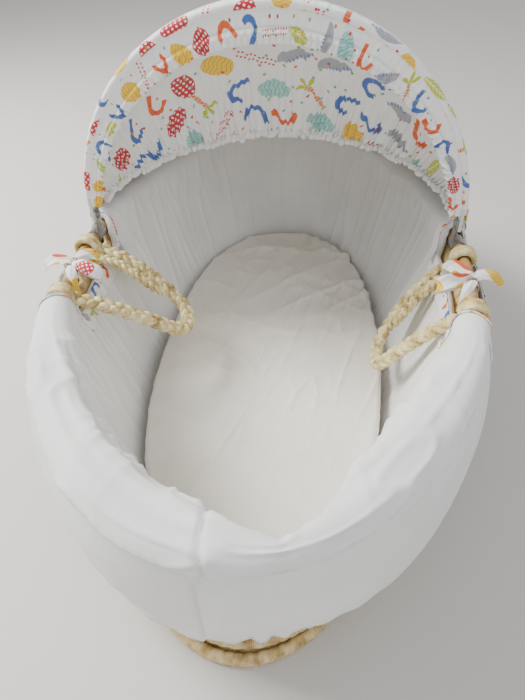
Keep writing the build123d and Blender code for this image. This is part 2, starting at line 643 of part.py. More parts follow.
def make_return_plait(side, droop):
    """The plait's tail, turned back round the rod and laid beside the head strand, inside the loop."""
    points = loop_points(half_span(side), HANDLE_REACH)
    gap = Vector(-(PLAIT_WIDTH + RETURN_WIDTH) / 2 - 2 * PLAIT_CLEARANCE, 0, 0)
    start, knee, tip = [Vector(*point) + gap for point in points[:3]]
    end = knee + (tip - knee) * (RETURN_SHARE - HANDLE_ARCH_SHARE)
    shown = [tuple(point) for point in (start, knee, end)]
    thickness = PLAIT_THICKNESS - PLAIT_CLEARANCE
    return flat_plait(side, droop, shown, [RETURN_KNEE_RADIUS], RETURN_WIDTH, thickness)


def make_lashing(side, droop, end):
    """The end of a handle, wound round the rod; end is 1 at the head and -1 at the foot."""
    plane = handle_plane(side, droop)
    centre = plane.origin + plane.x_dir * (end * half_span(side))
    own = Plane(origin=centre, x_dir=plane.x_dir, z_dir=plane.z_dir)
    return slotted_tube(own, LASHING_WIDTH, LASHING_BORE, LASHING_WALL)


# ---- hood ties ------------------------------------------------------------------------------------
def make_hood_tie(side):
    """A cloth tape knotted in a bow on the rod: a band, two flat loops and a knot."""
    x = side * rod_x(TIE_Y)
    bore = ROD_RADIUS + TIE_GAP
    ring = Circle(bore + TIE_CLOTH) - Circle(bore)
    tangent = rod_tangent(side, TIE_Y)
    band = Plane(origin=(x, TIE_Y, RIM_HEIGHT), z_dir=tangent) * extrude(ring, TIE_WIDTH / 2, both=True)
    top = RIM_HEIGHT + bore + TIE_CLOTH
    knot = Pos(x, TIE_Y, top + TIE_LOOP_HEIGHT / 2 - 1) * Box(TIE_WIDTH, TIE_WIDTH, TIE_LOOP_HEIGHT)
    tie = band + knot
    for way in (-1, 1):
        loop = fillet(Box(TIE_LOOP_LENGTH, TIE_LOOP_WIDTH, TIE_LOOP_HEIGHT - 1).edges(), 2.5)
        offset = way * (TIE_WIDTH / 2 + TIE_LOOP_LENGTH / 2 - 2)
        tie += Pos(x + offset, TIE_Y, top + TIE_LOOP_HEIGHT / 2) * loop
    return tie


# ---- all pieces -----------------------------------------------------------------------------------
SIDES = {"left": -1, "right": 1}
DROOPS = {"left": LEFT_DROOP, "right": RIGHT_DROOP}


def all_pieces():
    """Every piece of the basket by node name."""
    pieces = {
        "woven_base": make_woven_base(),
        "woven_wall": make_woven_wall(),
        "wall_stakes": make_stakes(),
        "rim_rod": make_rim_rod(),
        "mattress_core": make_mattress_core(),
        "fitted_sheet": make_fitted_sheet(),
        "sheet_elastic": make_sheet_elastic(),
        "liner_floor": make_liner_floor(),
        "liner_inner_wall": make_liner_inner_wall(),
        "rim_roll_head": make_rim_roll_head(),
        "rim_roll_foot": make_rim_roll_foot(),
        "liner_skirt": make_liner_skirt(),
        "skirt_elastic": make_skirt_elastic(),
        "hood_bow": make_hood_bow(),
        "hood_sleeve": make_hood_sleeve(),
        "hood_valance": make_hood_valance(),
        "hood_cover": make_hood_cover(),
        "hood_rear_band": make_hood_rear_band(),
        "hood_lining": make_hood_lining(),
        "hood_lining_elastic": make_lining_elastic(),
        "hood_rear_elastic": make_rear_elastic(),
    }
    for index in range(ROW_COUNT):
        pieces[f"husk_row_{index + 1}"] = make_husk_row(index)
    for name, side in SIDES.items():
        droop = DROOPS[name]
        pieces[f"{name}_slot_facing_inner"] = make_inner_facing(side)
        pieces[f"{name}_slot_facing_outer"] = make_outer_facing(side)
        pieces[f"{name}_hood_bracket"] = make_hood_bracket(side)
        pieces[f"{name}_pivot_rivet"] = make_pivot_rivet(side)
        pieces[f"{name}_hood_tie"] = make_hood_tie(side)
        pieces[f"{name}_handle_plait"] = make_handle_plait(side, droop)
        pieces[f"{name}_handle_return_plait"] = make_return_plait(side, droop)
        pieces[f"{name}_handle_head_lashing"] = make_lashing(side, droop, 1)
        pieces[f"{name}_handle_foot_lashing"] = make_lashing(side, droop, -1)
    return pieces


os.makedirs("parts", exist_ok=True)
for node, piece in all_pieces().items():
    export_step(piece, f"parts/{node}.step")
for name, side in SIDES.items():
    ends = handle_ends(side)
    print(name, "handle turns about", [tuple(round(v, 2) for v in end) for end in ends])
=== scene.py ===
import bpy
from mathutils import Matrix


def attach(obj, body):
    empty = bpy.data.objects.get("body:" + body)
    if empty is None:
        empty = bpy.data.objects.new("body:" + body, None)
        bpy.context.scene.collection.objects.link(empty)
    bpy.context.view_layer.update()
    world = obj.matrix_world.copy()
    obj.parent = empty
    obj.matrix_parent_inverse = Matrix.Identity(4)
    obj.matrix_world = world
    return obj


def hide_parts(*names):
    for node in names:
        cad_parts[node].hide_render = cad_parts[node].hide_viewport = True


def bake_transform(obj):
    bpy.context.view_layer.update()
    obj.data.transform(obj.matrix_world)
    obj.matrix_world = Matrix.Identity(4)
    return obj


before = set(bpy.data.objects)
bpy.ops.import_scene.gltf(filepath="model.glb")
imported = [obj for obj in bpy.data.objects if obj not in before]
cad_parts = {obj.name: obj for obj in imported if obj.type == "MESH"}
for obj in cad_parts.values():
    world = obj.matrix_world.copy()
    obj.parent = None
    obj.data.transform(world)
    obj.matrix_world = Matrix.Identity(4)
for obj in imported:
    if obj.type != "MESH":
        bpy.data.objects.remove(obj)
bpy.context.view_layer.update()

import bmesh
import bpy
import numpy as np
from mathutils import Matrix, Vector


# ---- Camera, floor and light -----------------------------------------------------------------------
# A phone's wide camera held above the foot end, a pale studio floor, and a large soft window light
# from the left with a weak fill from the right.
CAMERA_PLACE = Vector((0.0594, -0.5802, 0.5916))
CAMERA_PITCH = np.radians(42.4)      # down from level
CAMERA_YAW = np.radians(-6.99)       # towards +X from the long axis
CAMERA_ROLL = np.radians(-1.89)
LENS_MM = 27.05

ahead = Vector((np.sin(CAMERA_YAW) * np.cos(CAMERA_PITCH),
                np.cos(CAMERA_YAW) * np.cos(CAMERA_PITCH), -np.sin(CAMERA_PITCH)))
level = Vector((np.cos(CAMERA_YAW), -np.sin(CAMERA_YAW), 0.0))
above = level.cross(ahead)
right = level * np.cos(CAMERA_ROLL) + above * np.sin(CAMERA_ROLL)
above = right.cross(ahead)
camera_data = bpy.data.cameras.new("camera")
camera_data.lens = LENS_MM
camera_data.sensor_width = 36.0
camera_data.clip_start = 0.01
camera = bpy.data.objects.new("camera", camera_data)
turn = Matrix((right, above, -ahead)).transposed().to_4x4()
camera.matrix_world = Matrix.Translation(CAMERA_PLACE) @ turn
bpy.context.scene.collection.objects.link(camera)
bpy.context.scene.camera = camera


def area_light(name, place, aim, size, watts, colour):
    """A square soft light at a place, pointing at a point."""
    lamp = bpy.data.lights.new(name, "AREA")
    lamp.size = size
    lamp.energy = watts
    lamp.color = colour
    holder = bpy.data.objects.new(name, lamp)
    holder.location = place
    holder.rotation_euler = (Vector(aim) - Vector(place)).to_track_quat("-Z", "Y").to_euler()
    bpy.context.scene.collection.objects.link(holder)


area_light("window", (-1.7, 0.25, 1.75), (0, 0, 0.15), 1.1, 112, (1.0, 0.99, 0.975))
area_light("fill", (1.4, -1.5, 1.8), (0, 0, 0.15), 2.2, 18, (0.96, 0.98, 1.0))
world = bpy.data.worlds.new("studio")
world.use_nodes = True
world.node_tree.nodes["Background"].inputs["Color"].default_value = (0.90, 0.92, 0.95, 1)
world.node_tree.nodes["Background"].inputs["Strength"].default_value = 0.74
bpy.context.scene.world = world


def linear(hex_colour):
    """A colour written as sRGB hex, turned to the linear values that the shader takes."""
    srgb = np.array([int(hex_colour[i:i + 2], 16) for i in (1, 3, 5)]) / 255
    values = np.where(srgb <= 0.04045, srgb / 12.92, ((srgb + 0.055) / 1.055) ** 2.4)
    return (*values, 1.0)


def add(tree, kind, links=None, **settings):
    """One node: settings by name, then inputs by name or number, each a value or another output."""
    made = tree.nodes.new(kind)
    for key, value in settings.items():
        setattr(made, key, value)
    for key, value in (links or {}).items():
        if isinstance(value, bpy.types.NodeSocket):
            tree.links.new(value, made.inputs[key])
        else:
            made.inputs[key].default_value = value
    return made


def material(name, base="#FFFFFF", roughness=0.9, **inputs):
    """A named material with its main shader; returns the material, its tree and the shader."""
    made = bpy.data.materials.new(name)
    made.use_nodes = True
    shader = made.node_tree.nodes["Principled BSDF"]
    shader.inputs["Base Color"].default_value = linear(base)
    shader.inputs["Roughness"].default_value = roughness
    for key, value in inputs.items():
        shader.inputs[key.replace("_", " ")].default_value = value
    return made, made.node_tree, shader


def link_bump(tree, shader, height, strength, distance):
    """A bump from a height, joined to the shader's normal."""
    bump = add(tree, "ShaderNodeBump", {"Height": height, "Strength": strength, "Distance": distance})
    tree.links.new(bump.outputs["Normal"], shader.inputs["Normal"])


floor_mesh = bpy.data.meshes.new("floor")
floor_mesh.from_pydata([(-6, -6, 0), (6, -6, 0), (6, 6, 0), (-6, 6, 0)], [], [(0, 1, 2, 3)])
floor = bpy.data.objects.new("floor", floor_mesh)
bpy.context.scene.collection.objects.link(floor)
floor_mesh.materials.append(material("matt_studio_floor", "#CFCBC5", 0.75)[0])


# ---- Woven base --------------------------------------------------------------------------------------
# A stiff oval mat of twined maize husk, the cradle's floor. Rows of husk cord run round it, over and
# under straight spokes, and the three thick rows of the wall stand on the ground round its edge.
MM = 0.001
RIM_X, RIM_Y, RIM_Z = 0.246, 0.405, 0.222      # centre line of the rim rod


def noise(points, size, seed):
    """Smooth random values from -1 to 1: random numbers on a lattice of the given size, blended."""
    scaled = np.asarray(points) / size + 31.7 * seed + 500.0
    cell = np.floor(scaled).astype(np.int64)
    part = scaled - cell
    part = part * part * (3 - 2 * part)
    total = np.zeros(scaled.shape[:-1])
    for corner in np.ndindex(*(2,) * scaled.shape[-1]):
        mixed = (cell + corner) @ np.array([73856093, 19349663, 83492791])[:scaled.shape[-1]]
        mixed = (mixed ^ (mixed >> 7)) * 2654435761 % 4294967296
        mixed = (mixed ^ (mixed >> 15)) * 2246822519 % 4294967296
        total += (mixed / 2147483648 - 1) * np.prod(np.where(corner, part, 1 - part), axis=-1)
    return total


def lengths(path, axis=0):
    """Distance run along a path of points, from 0 at its start."""
    gone = np.cumsum(np.linalg.norm(np.diff(path, axis=axis), axis=-1), axis)
    return np.concatenate([np.zeros_like(gone[:1]), gone])


def step(value, start, end):
    """A smooth rise from 0 at start to 1 at end."""
    part = np.clip((value - start) / (end - start), 0, 1)
    return part * part * (3 - 2 * part)


def creases(along, across, size, stretch, seed):
    """Sharp ridges from 0 to 1: one minus the size of a noise, raised, stretched along one direction."""
    points = np.stack(np.broadcast_arrays(along / stretch, across), -1)
    bent = points + 0.35 * size * noise(points, size * 2.3, seed + 5)[..., None]
    return (1 - np.abs(noise(bent, size, seed))) ** 5


def points_of(*values):
    """Numbers or grids as the coordinates of one grid of points."""
    return np.stack(np.broadcast_arrays(*values), -1)


def facing(grid, round_rows=False, round_columns=False):
    """Unit normals of a grid of points: the cross product of its two directions."""
    def difference(axis, whole):
        change = np.roll(grid, -1, axis) - np.roll(grid, 1, axis)
        if not whole:
            change = np.moveaxis(change, axis, 0)
            moved = np.moveaxis(grid, axis, 0)
            change[0], change[-1] = moved[1] - moved[0], moved[-1] - moved[-2]
            change = np.moveaxis(change, 0, axis)
        return change
    normal = np.cross(difference(0, round_rows), difference(1, round_columns))
    return normal / np.maximum(np.linalg.norm(normal, axis=-1, keepdims=True), 1e-12)


def surface(name, grid, finish, round_rows=False, round_columns=False, uv=None):
    """A closed smooth mesh through a grid of points, facing out. Its UV map is in metres on the surface."""
    rows, columns = grid.shape[:2]
    i, j = np.meshgrid(np.arange(rows - (not round_rows)), np.arange(columns - (not round_columns)),
                       indexing="ij")
    corners = [(i, j), (i + 1, j), (i + 1, j + 1), (i, j + 1)]
    faces = np.stack([(a % rows) * columns + b % columns for a, b in corners], -1).reshape(-1, 4)
    if uv is None:
        closed = np.concatenate([grid, grid[:1]]) if round_rows else grid
        closed = np.concatenate([closed, closed[:, :1]], 1) if round_columns else closed
        across = np.linalg.norm(np.diff(closed, axis=1), axis=-1).max(0)
        down = np.linalg.norm(np.diff(closed, axis=0), axis=-1).mean(1)
        u, v = np.concatenate([[0], np.cumsum(across)]), np.concatenate([[0], np.cumsum(down)])
        uv = np.stack(np.broadcast_arrays(u[None, :], v[:, None]), -1)
    mesh = bpy.data.meshes.new(name)
    mesh.from_pydata(grid.reshape(-1, 3).tolist(), [], faces.tolist())
    shown = np.stack([uv[a, b] for a, b in corners], -2).reshape(-1)
    mesh.uv_layers.new(name="UVMap").data.foreach_set("uv", shown.astype(np.float32))
    mesh.polygons.foreach_set("use_smooth", np.ones(len(faces), bool))
    merged = bmesh.new()
    merged.from_mesh(mesh)
    bmesh.ops.remove_doubles(merged, verts=merged.verts, dist=1e-6)
    if merged.calc_volume(signed=True) < 0:
        bmesh.ops.reverse_faces(merged, faces=merged.faces)
    merged.to_mesh(mesh)
    merged.free()
    mesh.update()
    mesh.materials.append(finish)
    piece = bpy.data.objects.new(name, mesh)
    bpy.context.scene.collection.objects.link(piece)
    return piece


def cloth_body(name, front, back, finish, round_columns=True, uv=None):
    """A closed piece of cloth or padding between a front and a back grid, which meet at their edges."""
    if uv is not None:
        uv = np.concatenate([uv, uv[::-1], uv[:1]])
        uv = np.concatenate([uv[:, :1], uv, uv[:, -1:]], 1)
    if not round_columns:
        ends = (front[:, [0, -1]] + back[:, [0, -1]]) / 2
        front = np.concatenate([ends[:, :1], front, ends[:, 1:]], 1)
        back = np.concatenate([ends[:, :1], back, ends[:, 1:]], 1)
    return surface(name, np.concatenate([front, back[::-1]]), finish, True, round_columns, uv)


def tube(name, path, radius, finish, sides=10, round_path=False, squash=1.0, up=(0, 0, 1), caps=True):
    """A tube round a path. Its radius may change along the path (rows) and round the tube (columns)."""
    ahead = np.roll(path, -1, 0) - np.roll(path, 1, 0)
    if not round_path:
        ahead[0], ahead[-1] = path[1] - path[0], path[-1] - path[-2]
    ahead /= np.linalg.norm(ahead, axis=-1, keepdims=True)
    side = np.cross(np.broadcast_to(np.asarray(up, float), path.shape), ahead)
    side /= np.linalg.norm(side, axis=-1, keepdims=True)
    over = np.cross(ahead, side)
    turn = np.linspace(0, 2 * np.pi, sides, endpoint=False)
    radius = np.broadcast_to(radius, (len(path), sides))[..., None]
    grid = path[:, None] + radius * (np.cos(turn)[None, :, None] * side[:, None]
                                     + squash * np.sin(turn)[None, :, None] * over[:, None])
    if caps and not round_path:
        grid = np.concatenate([np.repeat(path[None, :1], sides, 1).reshape(1, sides, 3), grid,
                               np.repeat(path[None, -1:], sides, 1).reshape(1, sides, 3)])
    return surface(name, grid, finish, round_path, True)


def joined(name, parts):
    """Several meshes made one object."""
    with bpy.context.temp_override(active_object=parts[0], selected_editable_objects=parts):
        bpy.ops.object.join()
    parts[0].name = name
    return parts[0]


def settle(piece, body, slot, *nodes):
    """Fix a piece to its body in place of CAD nodes. Its slot argument is not used."""
    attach(piece, body)
    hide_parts(*nodes)


def oval_angles(count, weight=None):
    """Angles round the rim, an equal distance apart on it, or closer together where weight is larger."""
    angle = np.linspace(0, 2 * np.pi, 20001)
    speed = np.hypot(RIM_X * np.sin(angle), RIM_Y * np.cos(angle))
    if weight is not None:
        speed = speed * weight(RIM_X * np.cos(angle), RIM_Y * np.sin(angle))
    run = np.concatenate([[0], np.cumsum((speed[1:] + speed[:-1]) / 2)])
    return np.interp(np.linspace(0, run[-1], count, endpoint=False), run, angle)


def colours_by(tree, shader, value, *stops):
    """The shader's colour from a value: each stop is a place from 0 to 1 and its colour."""
    ramp = add(tree, "ShaderNodeValToRGB", {"Fac": value})
    for element, (place, colour) in zip(ramp.color_ramp.elements, (stops[0], stops[-1])):
        element.position, element.color = place, linear(colour)
    for place, colour in stops[1:-1]:
        ramp.color_ramp.elements.new(place).color = linear(colour)
    tree.links.new(ramp.outputs[0], shader.inputs["Base Color"])


def husk(name, pale, middle, dark, fibre_mm):
    """Dry maize husk: fibres drawn out along the strand, and patches of paler and browner husk."""
    made, tree, shader = material(name, middle, 0.62)        # waxy dry leaf, IOR about 1.45
    place = add(tree, "ShaderNodeTexCoord")
    drawn = add(tree, "ShaderNodeMapping",
                {"Vector": place.outputs["UV"], "Scale": (90, 1400 / fibre_mm, 1)})
    fibre = add(tree, "ShaderNodeTexNoise", {"Vector": drawn.outputs[0], "Scale": 1.0, "Detail": 4.0})
    patch = add(tree, "ShaderNodeTexNoise",
                {"Vector": place.outputs["Object"], "Scale": 85.0, "Detail": 2.0})
    both = add(tree, "ShaderNodeMath", {0: fibre.outputs[0], 1: 0.45}, operation="MULTIPLY")
    both = add(tree, "ShaderNodeMath", {0: patch.outputs[0], 1: 0.75, 2: both.outputs[0]},
               operation="MULTIPLY_ADD")
    colours_by(tree, shader, both.outputs[0], (0.42, dark), (0.58, middle), (0.74, pale))
    link_bump(tree, shader, fibre.outputs[0], 0.6, 0.0006)
    return made


maize_husk = husk("maize_husk", "#E8D4A2", "#D2B57A", "#9A7C48", 1.0)
husk_plait = husk("husk_plait", "#EADFB2", "#D3BF84", "#94793F", 0.8)

MAT_HALF_WIDTH, MAT_HALF_LENGTH, MAT_THICKNESS = 183 * MM, 398 * MM, 8 * MM
MAT_PITCH = 12.4 * MM                          # from one row of the mat to the next
MAT_SPOKES = 48

angle = oval_angles(420)
share = np.concatenate([np.linspace(0, 0.97, 84), [0.99, 1.0, 1.0, 0.99], np.linspace(0.97, 0, 84)])[:, None]
upper = np.arange(len(share))[:, None] >= len(share) // 2
row_place = share * MAT_HALF_WIDTH / MAT_PITCH
crossing = np.cos(MAT_SPOKES * angle) * np.cos(np.pi * np.floor(row_place))
weave = np.abs(np.sin(np.pi * row_place)) ** 0.6 + 0.5 * crossing
relief = 2.2 * MM * (1 - weave / 1.5) * step(share, 1.0, 0.9) + step(share, 0.985, 1.0) * 3 * MM
height = np.where(upper, MAT_THICKNESS - relief, relief)
grid = points_of(share * MAT_HALF_WIDTH * np.cos(angle), share * MAT_HALF_LENGTH * np.sin(angle), height)
piece = surface("woven_base_mat", grid, maize_husk, round_columns=True)
settle(piece, "basket", "maize_husk", "woven_base")


# ---- Husk rows -------------------------------------------------------------------------------------
# Three thick rows at the foot of the wall. Each is a bundle of husk wound closely with flat husk
# strips, so that it shows slanting wraps about a finger wide.
ROW_RADIUS, ROW_PITCH, ROW_RISE = 6.6 * MM, 11.5 * MM, 12.3 * MM


def wound_row(name, half_width, half_length, height, seed):
    """A closed coil round the cradle: a tube whose radius swells in the middle of each slanting wrap."""
    angle = oval_angles(1100)
    path = points_of(half_width * np.cos(angle), half_length * np.sin(angle), height)
    run = lengths(path)
    turn = np.linspace(0, 2 * np.pi, 14, endpoint=False)
    phase = round(run[-1] / ROW_PITCH) * run[:, None] / (run[-1] + 0.0018) + 0.85 * turn / (2 * np.pi)
    phase = phase + 0.22 * noise(path[:, :2], 0.02, seed)[:, None]
    swell = np.abs(np.sin(np.pi * phase)) ** 0.55
    uneven = noise(points_of(np.floor(phase), seed), 0.71, seed)
    thickness = ROW_RADIUS * (0.80 + 0.19 * swell + 0.05 * uneven)
    return tube(name, path, thickness, maize_husk, sides=14, round_path=True)


for index in range(3):
    node = f"husk_row_{index + 1}"
    piece = wound_row(f"wound_{node}", (189.8 + 1.5 * index) * MM, (404.8 - 12 * index) * MM,
                      6.7 * MM + index * ROW_RISE, index + 2)
    settle(piece, "basket", "maize_husk", node)


# ---- Woven wall --------------------------------------------------------------------------------------
# Twined husk cord in level rows, over and under upright stakes, from the thick rows up to the rim rod.
# Its top edge dips where a handle, a bracket or a tie goes round the rod.
def wall_top(x, y):
    """Height of the wall's top edge: level, and lower round each thing that goes round the rod."""
    dip = np.zeros_like(y)
    for centre, half in ((11, 15), (-101, 15), (45, 14), (-48, 10)):
        dip = np.maximum(dip, 1 - step(np.abs(y - centre * MM), half * MM, (half + 4) * MM))
    return (214 - 12.5 * dip) * MM


WALL_FOOT, WALL_RISE, WALL_THICKNESS = 37.2 * MM, 177.4 * MM, 9 * MM
WALL_PITCH, WALL_STAKES = 11.8 * MM, 36

angle = oval_angles(640)
x, y = np.cos(angle), np.sin(angle)
share = np.linspace(0, 1, 120)[:, None]
climb = share * (wall_top(RIM_X * x, RIM_Y * y) - WALL_FOOT)
row_place = climb / WALL_PITCH
bulge = np.abs(np.sin(np.pi * row_place)) ** 0.6
over = 0.9 * np.cos(WALL_STAKES / 2 * angle) * np.cos(np.pi * np.floor(row_place))
slant = 0.7 * np.abs(np.sin(np.pi * (angle * 52 + 0.8 * (row_place % 1)))) ** 0.7
bulge_out = (-2.6 + (2.2 + slant + over) * bulge) * MM
bulge_in = (-2.6 + (2.2 + slant - over) * bulge) * MM + WALL_THICKNESS
half_width = (197.3 + 53.2 * climb / WALL_RISE) * MM
half_length = (385.3 + 24.2 * climb / WALL_RISE) * MM
outer = points_of((half_width + bulge_out) * x, (half_length + bulge_out) * y, WALL_FOOT + climb)
inner = points_of((half_width - bulge_in) * x, (half_length - bulge_in) * y, WALL_FOOT + climb)
piece = cloth_body("woven_husk_wall", outer, inner[::7], maize_husk)
settle(piece, "basket", "maize_husk", "woven_wall")


# ---- Rim rod, stakes and hood brackets -------------------------------------------------------------
# A bent cane rod carries everything at the top. The willow stakes stand inside the wall. Two zinc
# steel brackets clamp the rod and hold the hood's flat plastic bow by rivets.
def clouded(tree, shader, scale, detail, *stops):
    """A colour that drifts over a piece with a noise; returns the noise."""
    place = add(tree, "ShaderNodeTexCoord")
    cloud = add(tree, "ShaderNodeTexNoise",
                {"Vector": place.outputs["Object"], "Scale": scale, "Detail": detail})
    colours_by(tree, shader, cloud.outputs[0], *stops)
    return cloud.outputs[0]


cane, tree, shader = material("cane", "#B9935F", 0.42)       # scraped cane, IOR about 1.5
grain = clouded(tree, shader, 60.0, 5.0, (0.35, "#8D6A3D"), (0.68, "#C9A56E"))
link_bump(tree, shader, grain, 0.25, 0.0005)
willow = material("willow_stake", "#A98C5F", 0.7)[0]
zinc_steel = material("zinc_steel", "#A7A9AA", 0.38, Metallic=1.0)[0]
plastic = material("flat_plastic_strip", "#D9DAD8", 0.45)[0]     # nylon, IOR 1.53
for node, finish in (("rim_rod", cane), ("wall_stakes", willow), ("hood_bow", plastic),
                     ("left_hood_bracket", zinc_steel), ("right_hood_bracket", zinc_steel),
                     ("left_pivot_rivet", zinc_steel), ("right_pivot_rivet", zinc_steel)):
    slots = bpy.data.objects[node].data.materials
    slots.clear()
    slots.append(finish)


# ---- Cloths ------------------------------------------------------------------------------------------
# White cotton for the liner and bands, ivory jersey for the fitted sheet, and white cotton printed with
# leaves, spotted ovals, hooks, banded stems and dots for the hood, facings and ties.
class Formula:
    """A number made by shader nodes, so that a pattern can be written as a formula."""
    def __init__(self, tree, socket):
        self.tree, self.socket = tree, socket

    def use(self, operation, *others, **settings):
        inputs = {0: self.socket}
        for slot_number, other in enumerate(others, 1):
            inputs[slot_number] = other.socket if isinstance(other, Formula) else float(other)
        return Formula(self.tree, add(self.tree, "ShaderNodeMath", inputs, operation=operation,
                                      **settings).outputs[0])

    def __add__(self, other):
        return self.use("ADD", other)

    def __sub__(self, other):
        return self.use("SUBTRACT", other)

    def __mul__(self, other):
        return self.use("MULTIPLY", other)

    def size(self):
        return self.use("ABSOLUTE")

    def wrap(self):
        return self.use("FRACT")

    def under(self, edge, blur=0.02):
        """1 where the number is below the edge, 0 above it, with a narrow blur between."""
        return ((self * -1 + edge) * (1 / blur) + 0.5).use("ADD", 0.0, use_clamp=True)


def woven(tree, shader, thread_mm, strength):
    """A plain weave's bump: threads over and under, from the surface's own measured coordinates."""
    place = add(tree, "ShaderNodeTexCoord")
    parts = add(tree, "ShaderNodeSeparateXYZ", {"Vector": place.outputs["UV"]})
    turns = 2 * np.pi / (2 * thread_mm * MM)
    warp = (Formula(tree, parts.outputs["X"]) * turns).use("SINE")
    weft = (Formula(tree, parts.outputs["Y"]) * turns).use("SINE")
    slub = add(tree, "ShaderNodeTexNoise",
               {"Vector": place.outputs["Object"], "Scale": 420.0, "Detail": 3.0})
    height = warp * weft + Formula(tree, slub.outputs[0]) * 1.6
    link_bump(tree, shader, height.socket, strength, thread_mm * MM * 0.4)


white_cotton, tree, shader = material("white_cotton", "#F3F2F0", 0.92, Sheen_Weight=0.25)
clouded(tree, shader, 9.0, 3.0, (0.36, "#ECEBE9"), (0.62, "#F5F4F2"))       # slight wear and handling
woven(tree, shader, 0.45, 0.5)
ivory_sheet, tree, shader = material("ivory_sheet", "#F1ECE0", 0.94, Sheen_Weight=0.3)
clouded(tree, shader, 8.0, 3.0, (0.36, "#ECE6D8"), (0.62, "#F3EEE3"))
woven(tree, shader, 0.35, 0.4)
foam = material("foam", "#E7E0CB", 0.95)[0]                  # open-cell polyurethane


def printed(name, cell_mm):
    """White cotton with a printed pattern: each cell of a brick grid holds one of nine turned motifs."""
    made, tree, shader = material(name, "#F3F2F0", 0.92, Sheen_Weight=0.2)
    place = add(tree, "ShaderNodeTexCoord")
    parts = add(tree, "ShaderNodeSeparateXYZ", {"Vector": place.outputs["UV"]})

    def cells(size, seed, grow):
        """Coordinates within a cell, from -0.5 to 0.5, and three random numbers of that cell."""
        row = Formula(tree, parts.outputs["Y"]) * (1 / size) + seed
        column = Formula(tree, parts.outputs["X"]) * (1 / size) + row.use("FLOOR") * 0.37
        key = add(tree, "ShaderNodeCombineXYZ",
                  {"X": column.use("FLOOR").socket, "Y": row.use("FLOOR").socket, "Z": float(seed)})
        chance = add(tree, "ShaderNodeTexWhiteNoise", {"Vector": key.outputs[0]})
        lots = add(tree, "ShaderNodeSeparateXYZ", {"Vector": chance.outputs["Color"]})
        lots = [Formula(tree, lots.outputs[k]) for k in range(3)]
        a = column.wrap() - 0.5 + (lots[1] - 0.5) * 0.16
        b = row.wrap() - 0.5 + (lots[2] - 0.5) * 0.16
        turn = lots[1] * 2 * np.pi
        cosine, sine = turn.use("COSINE"), turn.use("SINE")
        return (a * cosine + b * sine) * grow, (b * cosine - a * sine) * grow, lots

    x, y, lots = cells(cell_mm * MM, 5, 0.78)
    kind = lots[0] * 9
    away = y.size()
    bow = x * x
    leaf = (away - (bow * -6.6 + 1) * 0.14).under(0)
    rib = leaf * (away.under(0.012) + ((x - away * 1.2) * 9).wrap().under(0.16, 0.1) * 0.8)
    oval = (bow * 8.2 + y * y * 17).under(1, 0.08)
    spot_x, spot_y = (x * 9).wrap() - 0.5, (y * 9).wrap() - 0.5
    spots = oval * (spot_x * spot_x + spot_y * spot_y).under(0.07, 0.04)
    lines = oval * (x * 11 + (y * 26).use("SINE") * 0.22).wrap().under(0.2, 0.1)
    ring = (bow + y * y).use("SQRT")
    # a hook is half a ring with one straight leg
    bend = (ring - 0.20).size().under(0.062) * (y * -1).under(0.0, 0.01)
    leg = (x - 0.20).size().under(0.062) * (y + 0.15).size().under(0.15)
    hook = bend.use("MAXIMUM", leg)
    stem = away.under(0.045) * (x + 0.12).size().under(0.27)
    bands = stem * (x * 13).wrap().under(0.4, 0.1)
    fan_x = x - 0.16
    around_end = y.use("ARCTAN2", fan_x) * 3
    petal = around_end.use("COSINE").size() * 0.27
    fan = ((fan_x * fan_x + y * y).use("SQRT") - petal).under(0) * (fan_x * -1).under(0.0)
    dot_x = (x * 12).wrap() - 0.5
    dot_y = (away - 0.055) * 12
    dotted = (dot_x * dot_x + dot_y * dot_y).under(0.10, 0.05) * x.size().under(0.42)
    half = oval * y.under(0.02)
    inks = [
        (leaf, "#BDC62E", 0), (rib, "#F1F3D2", 0),
        (oval, "#C4313B", 1), (spots, "#F6EFEA", 1),
        (oval, "#EFCB3E", 2), (lines, "#D88A35", 2),
        (hook, "#4A6DB3", 3), (hook, "#E2622F", 8),
        (stem, "#DF6A33", 4), (bands, "#F3C9A4", 4), (fan, "#B9C433", 4),
        (dotted, "#CF4048", 5),
        (oval, "#A6D3CC", 6), (lines, "#5FA9A6", 6),
        (half, "#A5A8B0", 7), (bands, "#6B7FB4", 7),
    ]
    paint = None
    for mask, colour, number in inks:
        chosen = mask * (kind - (number + 0.5)).size().under(0.5, 0.01)
        mixed = add(tree, "ShaderNodeMix", {0: chosen.socket, 7: linear(colour)}, data_type="RGBA")
        if paint is None:
            mixed.inputs[6].default_value = linear("#F4F3F2")
        else:
            tree.links.new(paint, mixed.inputs[6])
        paint = mixed.outputs[2]
    small_x, small_y, lots = cells(cell_mm * MM * 0.31, 11, 1.0)
    dot = (small_x * small_x + small_y * small_y).under(0.020, 0.012) * lots[0].under(0.3, 0.01)
    tint = add(tree, "ShaderNodeValToRGB", {"Fac": lots[2].socket})
    tint.color_ramp.interpolation = "CONSTANT"
    tint.color_ramp.elements[0].color = linear("#5FB0AA")
    tint.color_ramp.elements[1].position = 0.75
    tint.color_ramp.elements[1].color = linear("#E07B3C")
    for stop, colour in ((0.25, "#C9414A"), (0.5, "#8DAF3D")):
        tint.color_ramp.elements.new(stop).color = linear(colour)
    mixed = add(tree, "ShaderNodeMix", {0: dot.socket, 6: paint, 7: tint.outputs[0]}, data_type="RGBA")
    tree.links.new(mixed.outputs[2], shader.inputs["Base Color"])
    woven(tree, shader, 0.4, 0.4)
    return made


printed_cotton = printed("printed_cotton", 48)
printed_band = printed("printed_cotton_small", 38)


